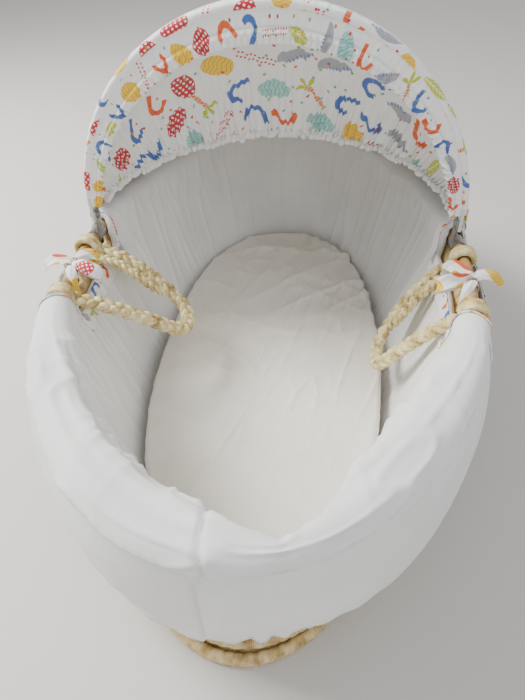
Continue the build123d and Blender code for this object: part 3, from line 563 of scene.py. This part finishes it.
# ---- Padded liner ------------------------------------------------------------------------------------
# Quilted white cotton over wadding. It lines the inside wall, rolls over the rim rod and is sewn to the
# skirt under the roll's outer edge. At the foot the roll is fuller and leans in over the mattress. At
# each side it stops in a slot, where the rod is bare for the handles.
SLOT_HEAD, SLOT_FOOT = 0.062, -0.128
COLUMNS = 760


def near_slot_end(x, y):
    """Columns stand closer together where the liner's edge turns down into a slot."""
    near = np.exp(-((y - SLOT_HEAD) / 0.012) ** 2) + np.exp(-((y - SLOT_FOOT) / 0.012) ** 2)
    return 1 + 3 * near


ring_angle = oval_angles(COLUMNS, near_slot_end)
ring_x, ring_y = np.cos(ring_angle), np.sin(ring_angle)
rim_y = RIM_Y * ring_y
around = points_of(RIM_X * ring_x, rim_y)
run = lengths(around)
in_slot = step(rim_y, SLOT_FOOT - 0.010, SLOT_FOOT + 0.006)
in_slot = in_slot * step(rim_y, SLOT_HEAD + 0.010, SLOT_HEAD - 0.006)
at_foot = step(rim_y, -0.135, -0.25)
outward = points_of(ring_x, ring_y, 0)


def smooth_line(knots, rounds=4):
    """Knots of a profile (first axis) made a smooth line by cutting its corners several times."""
    for _ in range(rounds):
        cut = np.stack([knots[:-1] * 0.75 + knots[1:] * 0.25, knots[:-1] * 0.25 + knots[1:] * 0.75], 1)
        knots = np.concatenate([knots[:1], cut.reshape(-1, *knots.shape[1:]), knots[-1:]])
    return knots


def sampled(line, shares):
    """Points of each column's profile at the given shares (rows, columns) of its number of points."""
    place = np.clip(shares, 0, 1) * (len(line) - 1)
    low = np.minimum(place.astype(int), len(line) - 2)
    part = (place - low)[..., None]
    column = np.arange(line.shape[1])[None]
    return line[low, column] * (1 - part) + line[low + 1, column] * part


def along_run(size, seed):
    """A noise that changes only along the rim."""
    return noise(points_of(run, 0), size, seed)


def facing_out(grid):
    """Unit normals of a grid round the rim, all turned away from the cradle's middle."""
    normal = facing(grid, round_columns=True)
    return normal * np.sign((normal[len(grid) // 3] * outward).sum(-1))[None, :, None]


def stitched(grid, shift, width, half):
    """1 along an upright line at x = -shift on one half of the ring, fading over a width on each side."""
    return np.exp(-(np.abs(grid[..., 0] + shift) / width) ** 2) * half


def profile(knots, foot_knots, fullness=1.0):
    """Rings of knots (out at the ends, out at the sides, height), blended towards the foot's own."""
    plain, full = np.array(knots, float)[:, None], np.array(foot_knots, float)[:, None]
    mixed = plain + (full - plain) * (at_foot * fullness)[None, :, None]
    mixed = np.broadcast_to(mixed, (len(knots), COLUMNS, 3)) * MM
    return points_of((RIM_X + mixed[..., 1]) * ring_x, (RIM_Y + mixed[..., 0]) * ring_y, mixed[..., 2])


# The liner's section in mm from the rod's centre line, from its foot up and over the rim. The second
# list is the fuller roll at the foot end, which leans in by a share that changes from left to right.
liner_knots = [(-48, -82, 10), (-41, -66, 50), (-35, -51, 100), (-28, -36, 150), (-22, -24, 190),
               (-20, -20, 208), (-20, -20, 226), (-18, -18, 238), (-9, -9, 245), (2, 2, 245),
               (11, 11, 241), (15, 15, 232), (13, 13, 222)]
liner_foot = [(-48, -82, 10), (-42, -68, 50), (-36, -54, 100), (-38, -46, 150), (-52, -52, 182),
              (-62, -60, 206), (-62, -60, 230), (-50, -48, 246), (-27, -27, 252), (-4, -4, 250),
              (11, 11, 243), (16, 16, 231), (13, 13, 221)]
lean = np.interp(RIM_X * ring_x, [-0.25, -0.16, -0.10, -0.04, 0, 0.045, 0.08, 0.11, 0.16, 0.25],
                 [0.35, 0.45, 0.52, 0.48, 0.20, -0.55, -0.15, 0.45, 0.66, 0.35])
line = smooth_line(profile(liner_knots, liner_foot, lean))
rows = 78
last = 1 - in_slot * 0.60                      # in a slot the liner ends below the rod
shares = np.linspace(0, 1, rows)[:, None] * last
front = sampled(line, shares)
normal = -facing_out(front)
up_run = shares * 0.30
# Soft lumps of the wadding, upright and level creases, and long hanging folds on the wall, in mm.
soft = noise(points_of(run, up_run), 0.085, 3) * 3.0 + noise(points_of(run, up_run), 0.034, 4) * 1.1
upright = creases(up_run, run, 0.030, 3.2, 8) * step(shares, 0.1, 0.3) * (0.5 + at_foot)
level_fold = creases(run, up_run, 0.021, 3.5, 12) * at_foot * step(shares, 0.3, 0.5)
hang = creases(up_run + 0.4 * run, run, 0.022, 4.0, 17) * step(shares, 0.62, 0.45)
smoother = 1 - 0.72 * step(shares, 0.52, 0.66)
lift = (soft + 3.6 * upright) * smoother + 3.6 * level_fold + 2.8 * hang
# A deep groove runs along the foot roll, where the wadding is sewn through.
wander = 0.56 + 0.05 * along_run(0.11, 14)
groove = np.exp(-((shares - wander) / 0.022) ** 2) - 0.5 * np.exp(-((shares - wander - 0.06) / 0.03) ** 2)
lift = lift - 6.0 * groove * at_foot * step(along_run(0.16, 15), -0.6, 0.2)
# The panels' seams at the head and the foot, their puckers, and small gathers at both edges.
seams = 3.2 * stitched(front, 0.009, 0.0022, rim_y > 0)
seams = seams + 3.6 * stitched(front, 0.008 + 0.010 * (1 - shares), 0.0022, rim_y < 0)
pucker = stitched(front, 0.009, 0.016, rim_y > 0) + stitched(front, 0.012, 0.016, rim_y < 0)
lift = lift - seams + 0.5 * pucker * np.sin(2 * np.pi * up_run / 0.008)
gather = np.sin(2 * np.pi * (run / 0.0135 + 0.5 * noise(around, 0.05, 9)))
lift = lift + gather * (0.7 * step(shares, 0.80, 1.0) + 0.6 * step(shares, 0.25, 0.0))
edge = step(1 - shares / last, 0.0, 0.06)
liner_front = front + normal * (lift * edge)[..., None] * MM * 0.8
depth = (3 + 6.5 * edge * step(np.linspace(0, 1, rows), 0, 0.06)[:, None])[..., None] * MM
back = front - normal * depth
piece = cloth_body("padded_liner", liner_front, back[::3], white_cotton)
settle(piece, "basket", "white_cotton", "liner_inner_wall", "rim_roll_head", "rim_roll_foot")

disc = np.linspace(0, 1, 40)[:, None]
top = points_of(disc * 0.169 * ring_x, disc * 0.360 * ring_y, 11.2 * MM)
top[..., 2] += 0.4 * MM * noise(top[..., :2], 0.05, 6)
under = top - np.array([0, 0, 2.4 * MM])
piece = cloth_body("liner_floor_cloth", top[:, ::2], under[:, ::2], white_cotton)
settle(piece, "basket", "white_cotton", "liner_floor")


# ---- Skirt ---------------------------------------------------------------------------------------------
# A loose frill of thin white cotton, sewn under the roll and gathered on a hem elastic that grips the
# wall. It bellies out, and its folds deepen towards the hem. Long sagging folds lie level in its belly.
# The skirt's section in mm from the rod's centre line, from under the roll down to its turned hem.
skirt_knots = [(11, 11, 233), (14, 17, 212), (15, 28, 175), (13, 36, 130), (10, 34, 100), (5, 18, 74),
               (-1, -8, 58), (-7, -27, 49), (-9, -35, 44), (-11, -39, 43), (-13, -41, 47)]
line = smooth_line(profile(skirt_knots, skirt_knots))
rows = 96
first = in_slot * 0.125                        # in a slot the skirt starts below the rod
shares = first + np.linspace(0, 1, rows)[:, None] * (1 - first)
front = sampled(line, shares)
down_run = shares * 0.24
flow = 0.9 * noise(points_of(run, down_run * 0.35), 0.07, 21)
folds = np.sin(2 * np.pi * (run / 0.041 + flow))
fine = np.sin(2 * np.pi * (run / 0.0155 + 1.6 * flow + 0.4 * noise(around, 0.03, 22)))
sag = creases(run, down_run, 0.034, 4.6, 25)
broad = noise(points_of(run, down_run * 0.6), 0.12, 27)
belly = step(shares, 0.03, 0.35) * step(shares, 0.95, 0.7)
lift = 4.5 * broad * belly + 2.6 * folds * step(shares, 0.25, 0.85) + 1.3 * fine * step(shares, 0.55, 0.95)
# A wandering seam at the foot, and three long folds that fall away from it towards the left.
seam_place = 0.010 + 0.027 * shares + 0.004 * np.sin(shares * 9)
drift = (run - 1.02) / 0.36
long_folds = sum(np.exp(-((shares - start - 0.16 * drift) / 0.011) ** 2) for start in (0.30, 0.40, 0.49))
long_folds = long_folds * step(ring_x * RIM_X, -0.030, -0.07) * step(rim_y, -0.12, -0.22)
lift = lift + 8.0 * sag * belly + 4.2 * long_folds - 3.0 * stitched(front, seam_place, 0.002, rim_y < 0)
# The hem elastic's channel draws the cloth in between two stitch lines.
channel = np.exp(-((shares - 0.80) / 0.018) ** 2) + 0.8 * np.exp(-((shares - 0.93) / 0.014) ** 2)
lift = lift - 2.6 * channel + 2.2 * np.exp(-((shares - 0.865) / 0.03) ** 2)
lift = lift + 0.8 * np.sin(2 * np.pi * run / 0.012) * step(shares, 0.16, 0.0)
skirt_front = front + facing_out(front) * lift[..., None] * MM
skirt_front[..., 2] += 1.6 * MM * fine * step(shares, 0.85, 1.0)
back = skirt_front - facing_out(skirt_front) * 1.6 * MM
piece = cloth_body("skirt_frill", skirt_front, back[::3], white_cotton)
settle(piece, "basket", "white_cotton", "liner_skirt", "skirt_elastic")


# ---- Mattress and fitted sheet -----------------------------------------------------------------------
# A foam mattress in an ivory jersey sheet. The sheet is pulled over the edge and held under the mattress
# by an elastic, and lies a little slack, so that it wrinkles at the head and on the right.
def mattress_grid(rise, out):
    """Rows from the middle of the top, over the rounded edge, down the side and turned under."""
    share = np.concatenate([np.linspace(0, 0.9, 84), np.linspace(0.905, 0.962, 10)])
    turn = np.linspace(0, np.pi / 2, 10)[1:]
    down = np.linspace(0.043, 0.019, 7)
    low = np.linspace(0, np.pi / 2, 7)[1:]
    inset = np.concatenate([share - 1, -0.04 + 0.04 * np.sin(turn), 0 * down, -0.02 * (1 - np.cos(low)),
                            np.linspace(-0.04, -0.18, 8)])
    height = np.concatenate([0.0605 + 0 * share, 0.0475 + 0.013 * np.cos(turn), down,
                             0.0195 - 0.0065 * np.sin(low), np.full(8, 0.0128)])
    angle = oval_angles(460)
    power = 2 / 2.3
    x = np.sign(np.cos(angle)) * np.abs(np.cos(angle)) ** power * (0.1605 + out)
    y = np.sign(np.sin(angle)) * np.abs(np.sin(angle)) ** power * (0.348 + out)
    scale = (1 + inset)[:, None]
    return points_of(scale * x, scale * y, (height + rise)[:, None])


grid = mattress_grid(-1.5 * MM, -1.5 * MM)
grid[..., 2] = np.maximum(grid[..., 2], 12.2 * MM)
piece = surface("foam_mattress", np.concatenate([grid, grid[-1:] * [0, 0, 1]]), foam, round_columns=True)
settle(piece, "basket", "foam", "mattress_core")
grid = mattress_grid(0, 0)
x, y = grid[..., 0], grid[..., 1]
on_top = step(grid[..., 2], 0.045, 0.058)
slack = 0.25 + 0.75 * step(y, -0.10, 0.18) * step(x, -0.14, 0.02) + 0.35 * step(y, 0.12, 0.25)
slant = creases(x * 0.80 + y * 0.60, y * 0.80 - x * 0.60, 0.045, 3.4, 31)
cross = creases(x * 0.86 - y * 0.5, y * 0.86 + x * 0.5, 0.040, 3.0, 35)
fine = creases(x * 0.3 + y * 0.95, x * 0.95 - y * 0.3, 0.018, 3.0, 38)
long_crease = np.exp(-((x + 0.045 - 0.36 * (y + 0.19)) / 0.004) ** 2) * step(np.abs(y + 0.19), 0.10, 0.03)
pulled = creases(y + 0.25 * x, x - 0.25 * y, 0.026, 5.0, 33) * step(x, -0.03, 0.05) * step(y, -0.22, 0.05)
lift = slack * (4.4 * slant + 3.4 * cross) + 1.6 * fine * (0.3 + slack) + 3.6 * pulled + 2.6 * long_crease
lift = lift + 2.4 * (1 - (x / 0.16) ** 2) * (1 - (y / 0.35) ** 2)
gather = np.sin(2 * np.pi * (np.arctan2(y / 0.35, x / 0.16) * 38 + noise(x[..., None], 0.02, 4)))
side = 0.45 * (1 - on_top) * gather
lift[0] = lift[1].mean()
normal = facing(grid, round_columns=True)
normal = normal * np.sign(normal[20, :, 2])[None, :, None]
normal[0] = (0, 0, 1)
grid = grid + normal * ((lift * on_top + side + 0.6)[..., None]) * MM
grid[..., 2] = np.maximum(grid[..., 2], 12.0 * MM)
inner = grid - normal * 0.6 * MM
piece = cloth_body("jersey_fitted_sheet", grid, inner[::4], ivory_sheet)
settle(piece, "basket", "ivory_sheet", "fitted_sheet", "sheet_elastic")


# ---- Slot facings ----------------------------------------------------------------------------------
# Narrow strips of printed cotton bind the cut edges of the liner and the skirt in each side slot.
def edge_strip(name, grid, rows, node, side):
    """A strip on the rows next to a cut edge, lifted just off the cloth below."""
    chosen = np.nonzero((in_slot > 0.02) & (np.sign(ring_x) == side))[0]
    if side > 0:
        chosen = np.concatenate([chosen[chosen > COLUMNS // 2], chosen[chosen <= COLUMNS // 2]])
    patch = grid[rows][:, chosen]
    normal = facing(patch)
    toward = np.array([1.0 if node.endswith("outer") else -1.0, 0, 0]) * side
    normal = normal * np.sign((normal[len(normal) // 2, len(chosen) // 2] * toward).sum())
    ripple = 0.4 * MM * np.sin(np.arange(len(chosen)) * 1.9)[None, :, None]
    made = cloth_body(name, patch + normal * (1.7 * MM + ripple), patch + normal * 0.5 * MM, printed_band,
                      round_columns=False)
    settle(made, "basket", "printed_cotton", node)


for side, word in ((1, "right"), (-1, "left")):
    edge_strip(f"{word}_liner_facing", liner_front, slice(-16, None),
               f"{word}_slot_facing_inner", side)
    edge_strip(f"{word}_skirt_facing", skirt_front, slice(0, 12),
               f"{word}_slot_facing_outer", side)


# ---- Hood ----------------------------------------------------------------------------------------------
# Printed cotton over a flat bow that turns on two rivets. A sleeve holds the bow, with a gathered frill
# inside its front edge. An outer cover runs back to an elastic round the head of the rim, and a lining
# inside it is gathered on its own elastic just above the roll.
PIVOT_Y, PIVOT_Z = 0.045, 0.252
BOW_RADIUS = 0.241
CLOTH_THICK = 0.9 * MM

bow_angle = np.radians(np.linspace(3.5, 176.5, 620))
bow_run = bow_angle * BOW_RADIUS
bow_out = points_of(np.cos(bow_angle), 0, np.sin(bow_angle))
bow_mid = np.array([0, PIVOT_Y, PIVOT_Z]) + BOW_RADIUS * bow_out


def arch(radius, y):
    """Points on an upright arch over the pivots."""
    return points_of(radius * np.cos(bow_angle), y, PIVOT_Z + radius * np.sin(bow_angle))


def along_bow(size, seed):
    """A noise that changes only along the bow."""
    return noise(points_of(bow_run, 0), size, seed)


turn = np.linspace(0, 2 * np.pi, 26, endpoint=False)
bunch = step(np.minimum(bow_angle, np.pi - bow_angle), np.radians(12), np.radians(3.5))
wrinkle = creases(bow_run[:, None], turn * 0.006, 0.016, 0.5, 41)
thick = (5.0 + 0.9 * wrinkle + 0.9 * bunch[:, None] * np.sin(turn * 5)) * MM
wide = (9.7 + 0.5 * along_bow(0.03, 42) - 3.0 * bunch)[:, None] * MM
radial = np.sign(np.cos(turn)) * np.abs(np.cos(turn)) ** 0.7
deep = np.sign(np.sin(turn)) * np.abs(np.sin(turn)) ** 0.8
grid = (bow_mid[:, None] + (thick * radial)[..., None] * bow_out[:, None]
        + (wide * deep)[..., None] * np.array([0, 1.0, 0]))
cap = np.repeat(bow_mid[[0, -1], None] - np.array([0, 0, 4 * MM]), len(turn), 1)
grid = np.concatenate([cap[:1], grid, cap[1:]])
piece = surface("bow_sleeve", grid, printed_band, round_columns=True)
settle(piece, "hood_frame", "printed_cotton", "hood_sleeve")

share = np.linspace(0, 1, 26)[:, None]
frill_depth = (12 + 20 * np.sin(bow_angle) ** 0.8) * MM
ruffle = step(share, 0.55, 0.80)
frill_wave = np.sin(2 * np.pi * (bow_run / 0.0085 + 0.7 * along_bow(0.02, 44)))
radius = 0.2375 - share * frill_depth - (1.0 * MM) * frill_wave * ruffle
welt = np.exp(-((share - 0.66) / 0.07) ** 2) - 0.8 * np.exp(-((share - 0.52) / 0.04) ** 2)
depth = 0.0375 - 0.003 * share + (0.25 + 1.5 * ruffle) * MM * frill_wave - 2.4 * MM * welt
depth = depth + 1.4 * MM * share * along_bow(0.035, 45)
depth = depth - 0.8 * MM * creases(share * 0.01, bow_run, 0.010, 1.0, 46) * (1 - ruffle)
front = arch(radius, depth)
piece = cloth_body("gathered_frill", front, front + [0, CLOTH_THICK, 0], printed_band, round_columns=False)
settle(piece, "hood_frame", "printed_cotton", "hood_valance")


def between(rows, bow, edge, middle, sag):
    """Straight lines from bow to edge, bent towards a middle point by sag times their length."""
    part = np.linspace(0, 1, rows)[:, None, None]
    grid = bow * (1 - part) + edge * part
    inside = np.array(middle) - grid
    inside /= np.linalg.norm(inside, axis=-1, keepdims=True)
    length = np.linalg.norm(edge - bow, axis=-1)[None, :, None]
    return grid + inside * sag * np.sin(np.pi * part) * length, inside, part[..., 0]


def measured(grid):
    """The print's coordinates: along the bow, and down each column from the bow, in metres."""
    return points_of(bow_run, lengths(grid))


pleat_run = np.linspace(0, 1, len(bow_angle))
pleat_wave = np.sin(2 * np.pi * (pleat_run * 74 + 0.8 * noise(pleat_run[:, None], 0.02, 51)))

# The lining hangs from the bow to a shorter, flatter arch that leans back: its gathered edge.
edge_angle = np.radians(9 + 162 * pleat_run)
edge_rise = 0.071 * np.sin(edge_angle) + 0.010 * np.sin(2 * edge_angle) * (np.cos(edge_angle) < 0)
lining_edge = points_of(0.2335 * np.cos(edge_angle), 0.052 + 0.106 * np.sin(edge_angle), PIVOT_Z + edge_rise)
grid, inside, part = between(64, arch(0.2355, 0.047), lining_edge, (0, 0.02, 0.22), -0.04)
printed_place = measured(grid)
lift = (0.3 + 2.6 * step(part, 0.35, 1.0)) * pleat_wave
lift = lift + (0.6 + 2.2 * part) * noise(points_of(pleat_run, 0), 0.035, 52)
lift = lift + 2.6 * creases(part * 0.3, pleat_run, 0.022, 9.0, 53)
lift = lift * step(part, 0.0, 0.06)
grid = grid + inside * lift[..., None] * MM
piece = cloth_body("hood_lining_cloth", grid, grid - inside * 0.8 * MM, printed_cotton,
                   round_columns=False, uv=printed_place)
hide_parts("hood_lining")
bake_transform(piece)

# The lining's elastic is in a gathered channel along that edge.
dense = np.linspace(0, 1, 1500)
path = np.stack([np.interp(dense, pleat_run, grid[-1, :, k]) for k in range(3)], -1)
ridge = 4.3 + 1.25 * np.sin(2 * np.pi * dense * 165 + 0.9 * noise(dense[:, None], 0.004, 55))[:, None]
piece = tube("lining_elastic_ruche", path + np.array([0, 0, MM]), ridge * MM, white_cotton, sides=12)
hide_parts("hood_lining_elastic")
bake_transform(piece)

HEM_HALF_WIDTH, HEM_HALF_LENGTH, HEM_TOP = 264.5 * MM, 423.5 * MM, 251.5 * MM
HEM_FIRST_Y = 86 * MM

start = np.arcsin(HEM_FIRST_Y / HEM_HALF_LENGTH)
hem_angle = start + pleat_run * (np.pi - 2 * start)
hem = points_of(HEM_HALF_WIDTH * np.cos(hem_angle), HEM_HALF_LENGTH * np.sin(hem_angle), HEM_TOP)
grid, inside, part = between(70, arch(0.2462, 0.0535), hem, (0, 0.10, 0.22), 0.018)
lift = 2.6 * creases(part * 0.3, pleat_run, 0.030, 8.0, 61)
lift = lift + 2.0 * noise(points_of(pleat_run * 0.6, part * 0.3), 0.08, 62)
lift = lift * step(part, 0.0, 0.08) + 1.2 * pleat_wave * step(part, 0.75, 1.0)
grid = grid - inside * lift[..., None] * MM * 0.8
# Below the roll's top the cover drops to its gathered hem, which turns in under the roll.
last_row = grid[-1] * [1, 1, 0]
away = last_row / np.linalg.norm(last_row, axis=-1, keepdims=True)
gather = np.sin(2 * np.pi * pleat_run * 118)[:, None]
low = [last_row + [0, 0, HEM_TOP - drop * MM] + away * (draw + (0.9 + 0.05 * drop) * gather) * MM
       for drop, draw in ((6, 0.0), (13, 0.3), (20, 0.0), (27, -1.5), (31, -4.0), (33, -8.0))]
grid = np.concatenate([grid, low])
normal = facing(grid)
normal = normal * np.sign(normal[30, 310, 1])
piece = cloth_body("hood_cover_cloth", grid, grid - normal * CLOTH_THICK, printed_cotton,
                   round_columns=False, uv=measured(grid))
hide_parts("hood_cover", "hood_rear_band", "hood_rear_elastic")
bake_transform(piece)


# ---- Handles -----------------------------------------------------------------------------------------
# Each handle is a three-ply husk plait bent in a loop, its ends wound round the rim rod so that it can
# swing. A narrower tail of the plait comes back beside the head strand.
def rod_point(side, y):
    return np.array([side * RIM_X * np.sqrt(1 - (y / RIM_Y) ** 2), y, RIM_Z])


def plait(name, path, up, half_width, half_thick, ply, period, finish, seed):
    """Three strands that weave across a path: each swings from side to side, and over and under twice."""
    keys = lengths(path)
    even = np.linspace(0, keys[-1], int(keys[-1] / (1.1 * MM)))
    centre = np.stack([np.interp(even, keys, path[:, k]) for k in range(3)], -1)
    ahead = np.gradient(centre, axis=0)
    ahead /= np.linalg.norm(ahead, axis=-1, keepdims=True)
    side_way = np.cross(ahead, up)
    side_way /= np.linalg.norm(side_way, axis=-1, keepdims=True)
    over = np.cross(side_way, ahead)
    made = []
    for strand in range(3):
        phase = 2 * np.pi * (even / period + strand / 3)
        across = (half_width - ply * 0.92) * np.sin(phase)
        lift = (half_thick - ply * 0.78) * np.sin(2 * phase)
        line = centre + across[:, None] * side_way + lift[:, None] * over
        turn = np.linspace(0, 2 * np.pi, 14, endpoint=False)
        rough = noise(points_of(even[:, None], turn * 0.004), 0.004, seed + strand)
        ridges = 0.07 * np.sin(5 * turn + even[:, None] * 260) + 0.05 * rough
        made.append(tube(name, line, ply * (1 + ridges), finish, sides=14, squash=0.84, up=up))
    return joined(name, made)


def winding(name, centre, along, radius, ply, turns, width, finish, seed):
    """A strand wound several times round the rod, side by side."""
    side_way = np.cross(along, [0, 0, 1.0])
    side_way /= np.linalg.norm(side_way)
    over = np.cross(side_way, along)
    part = np.linspace(0, 1, 110 * turns)
    turn = 2 * np.pi * turns * part
    line = (centre + np.outer((part - 0.5) * (width - 2 * ply), along)
            + radius * (np.outer(np.cos(turn), side_way) + np.outer(np.sin(turn), over)))
    ring = np.linspace(0, 2 * np.pi, 14, endpoint=False)
    rough = noise(points_of(turn[:, None] * 0.013, ring * 0.004), 0.005, seed)
    ridges = 0.08 * np.sin(4 * ring + turn[:, None] * 2.3) + 0.06 * rough
    return tube(name, line, ply * (1 + ridges), finish, sides=14, up=along)


for side, word, droop in ((1, "right", 54), (-1, "left", 32)):
    head, foot = rod_point(side, 0.011), rod_point(side, -0.101)
    along = (head - foot) / np.linalg.norm(head - foot)
    span = np.linalg.norm(head - foot) / 2
    inward = np.cross([0, 0, 1.0], along)
    inward = inward if inward[0] * side < 0 else -inward
    reach = inward * np.cos(np.radians(droop)) - np.array([0, 0, 1]) * np.sin(np.radians(droop))
    up = np.cross(along, reach)
    up = up if up[2] > 0 else -up
    middle = (head + foot) / 2
    body = f"{word}_handle"

    def placed(points):
        """Points of the loop (along the rod, away from it, up from its plane, in mm) put in the frame."""
        knots = np.array([middle + (along * u + reach * v + up * w) * MM for u, v, w in points])
        return smooth_line(knots)

    wide = span / MM
    loop = placed([(wide, 12, 0), (wide * 0.99, 24, 7), (wide * 0.93, 52, 13), (wide * 0.76, 100, 10),
                   (25, 157, 0), (-25, 157, 0), (-wide * 0.70, 112, 9), (-wide * 0.93, 60, 13),
                   (-wide * 0.99, 24, 7), (-wide, 12, 0)])
    piece = plait(f"{word}_loop_plait", loop, up, 9.8 * MM, 6.6 * MM, 4.7 * MM, 38 * MM, husk_plait, 71)
    settle(piece, body, "husk_plait", f"{word}_handle_plait")
    tail = placed([(wide - 19, 12, 0), (wide * 0.99 - 19, 24, 7), (wide * 0.93 - 19, 52, 13),
                   (wide * 0.76 - 18, 98, 9), (28, 116, 5)])
    piece = plait(f"{word}_tail_plait", tail, up, 7.4 * MM, 5.6 * MM, 3.8 * MM, 30 * MM, husk_plait, 81)
    settle(piece, body, "husk_plait", f"{word}_handle_return_plait")
    for end, place in (("head", head), ("foot", foot)):
        piece = winding(f"{word}_{end}_winding", place, along, 12.7 * MM, 4.1 * MM, 3, 23 * MM,
                        husk_plait, 91)
        settle(piece, body, "husk_plait", f"{word}_handle_{end}_lashing")


# ---- Hood ties -----------------------------------------------------------------------------------------
# A printed cotton tape round the rod in each slot holds the hood's side, tied in a loose bow.
def ribbon(name, points, broad, twist, finish, curl=0.0):
    """A tape along a bent line; twist gives, at each knot, the direction that its width lies in."""
    line = smooth_line(np.array(points, float)) * MM
    wide = smooth_line(np.array(twist, float))
    ahead = np.gradient(line, axis=0)
    ahead /= np.linalg.norm(ahead, axis=-1, keepdims=True)
    wide = wide - (wide * ahead).sum(-1, keepdims=True) * ahead
    wide /= np.linalg.norm(wide, axis=-1, keepdims=True)
    face = np.cross(ahead, wide)
    across = np.linspace(-1, 1, 9)
    half = np.broadcast_to(broad, len(line))[:, None] * MM / 2
    grid = line[:, None] + (across * half)[..., None] * wide[:, None]
    ripple = 0.5 * np.sin(across * 7 + np.arange(len(line))[:, None] * 0.25)
    grid = grid + ((curl * np.cos(across * np.pi * 0.9) + ripple) * MM)[..., None] * face[:, None]
    return cloth_body(name, grid, grid + face[:, None] * 0.7 * MM, finish, round_columns=False)


for side, word in ((1, "right"), (-1, "left")):
    knot = rod_point(side, -0.050) / MM + [0, 0, 9.5]
    s = side
    turn = np.linspace(0, 2 * np.pi, 40)
    hold = points_of(knot[0] + 8.6 * np.cos(turn), knot[1], RIM_Z / MM + 8.6 * np.sin(turn))
    parts = [ribbon("tape_round_rod", hold, 11, [[0, 1, 0]] * 40, printed_band)]
    lump = points_of(knot[0] + 4.6 * np.cos(turn), knot[1], knot[2] + 1.5 + 4.2 * np.sin(turn))
    parts.append(ribbon("knot", lump, 10, [[0.2, 1, 0]] * 40, printed_band, 1.2))
    loop_in = [(0, 0, 0), (-12 * s, -6, 5), (-26 * s, -13, 7), (-40 * s, -15, 2), (-44 * s, -11, -4),
               (-36 * s, -7, -6), (-20 * s, -3, -2), (0, 0, 0)]
    loop_up = [(0, 1, 1), (-10 * s, 9, 6), (-20 * s, 17, 8), (-28 * s, 18, 2), (-26 * s, 14, -3),
               (-14 * s, 6, -1), (0, 1, 1)]
    tail_out = [(0, 0, 2), (10 * s, 4, 6), (20 * s, 3, 6), (30 * s, 6, 1), (37 * s, 5, -7)]
    tail_low = [(0, -2, 0), (-4 * s, -11, 4), (-9 * s, -20, 0), (-10 * s, -27, -11), (-12 * s, -30, -25)]
    tapes = ((loop_in, 17, 0.45, (0.1, 0.75, 0.75)), (loop_up, 15, 0.45, (0.1, 0.75, 0.75)),
             (tail_out, 14, 1.0, (0.25 * s, 0.9, 0.5)), (tail_low, 13, 1.0, (1, 0.25, 0.2)))
    for line, broad, end, lean in tapes:
        count = len(smooth_line(np.array(line, float)))
        narrow = np.interp(np.linspace(0, 1, count), [0, 0.25, 0.8, 1], [0.45, 1, 1, end])
        parts.append(ribbon("tape", knot + np.array(line), broad * narrow, [lean] * len(line),
                            printed_band, 1.5))
    piece = joined(f"{word}_tie_bow", parts)
    settle(piece, "basket", "printed_cotton", f"{word}_hood_tie")
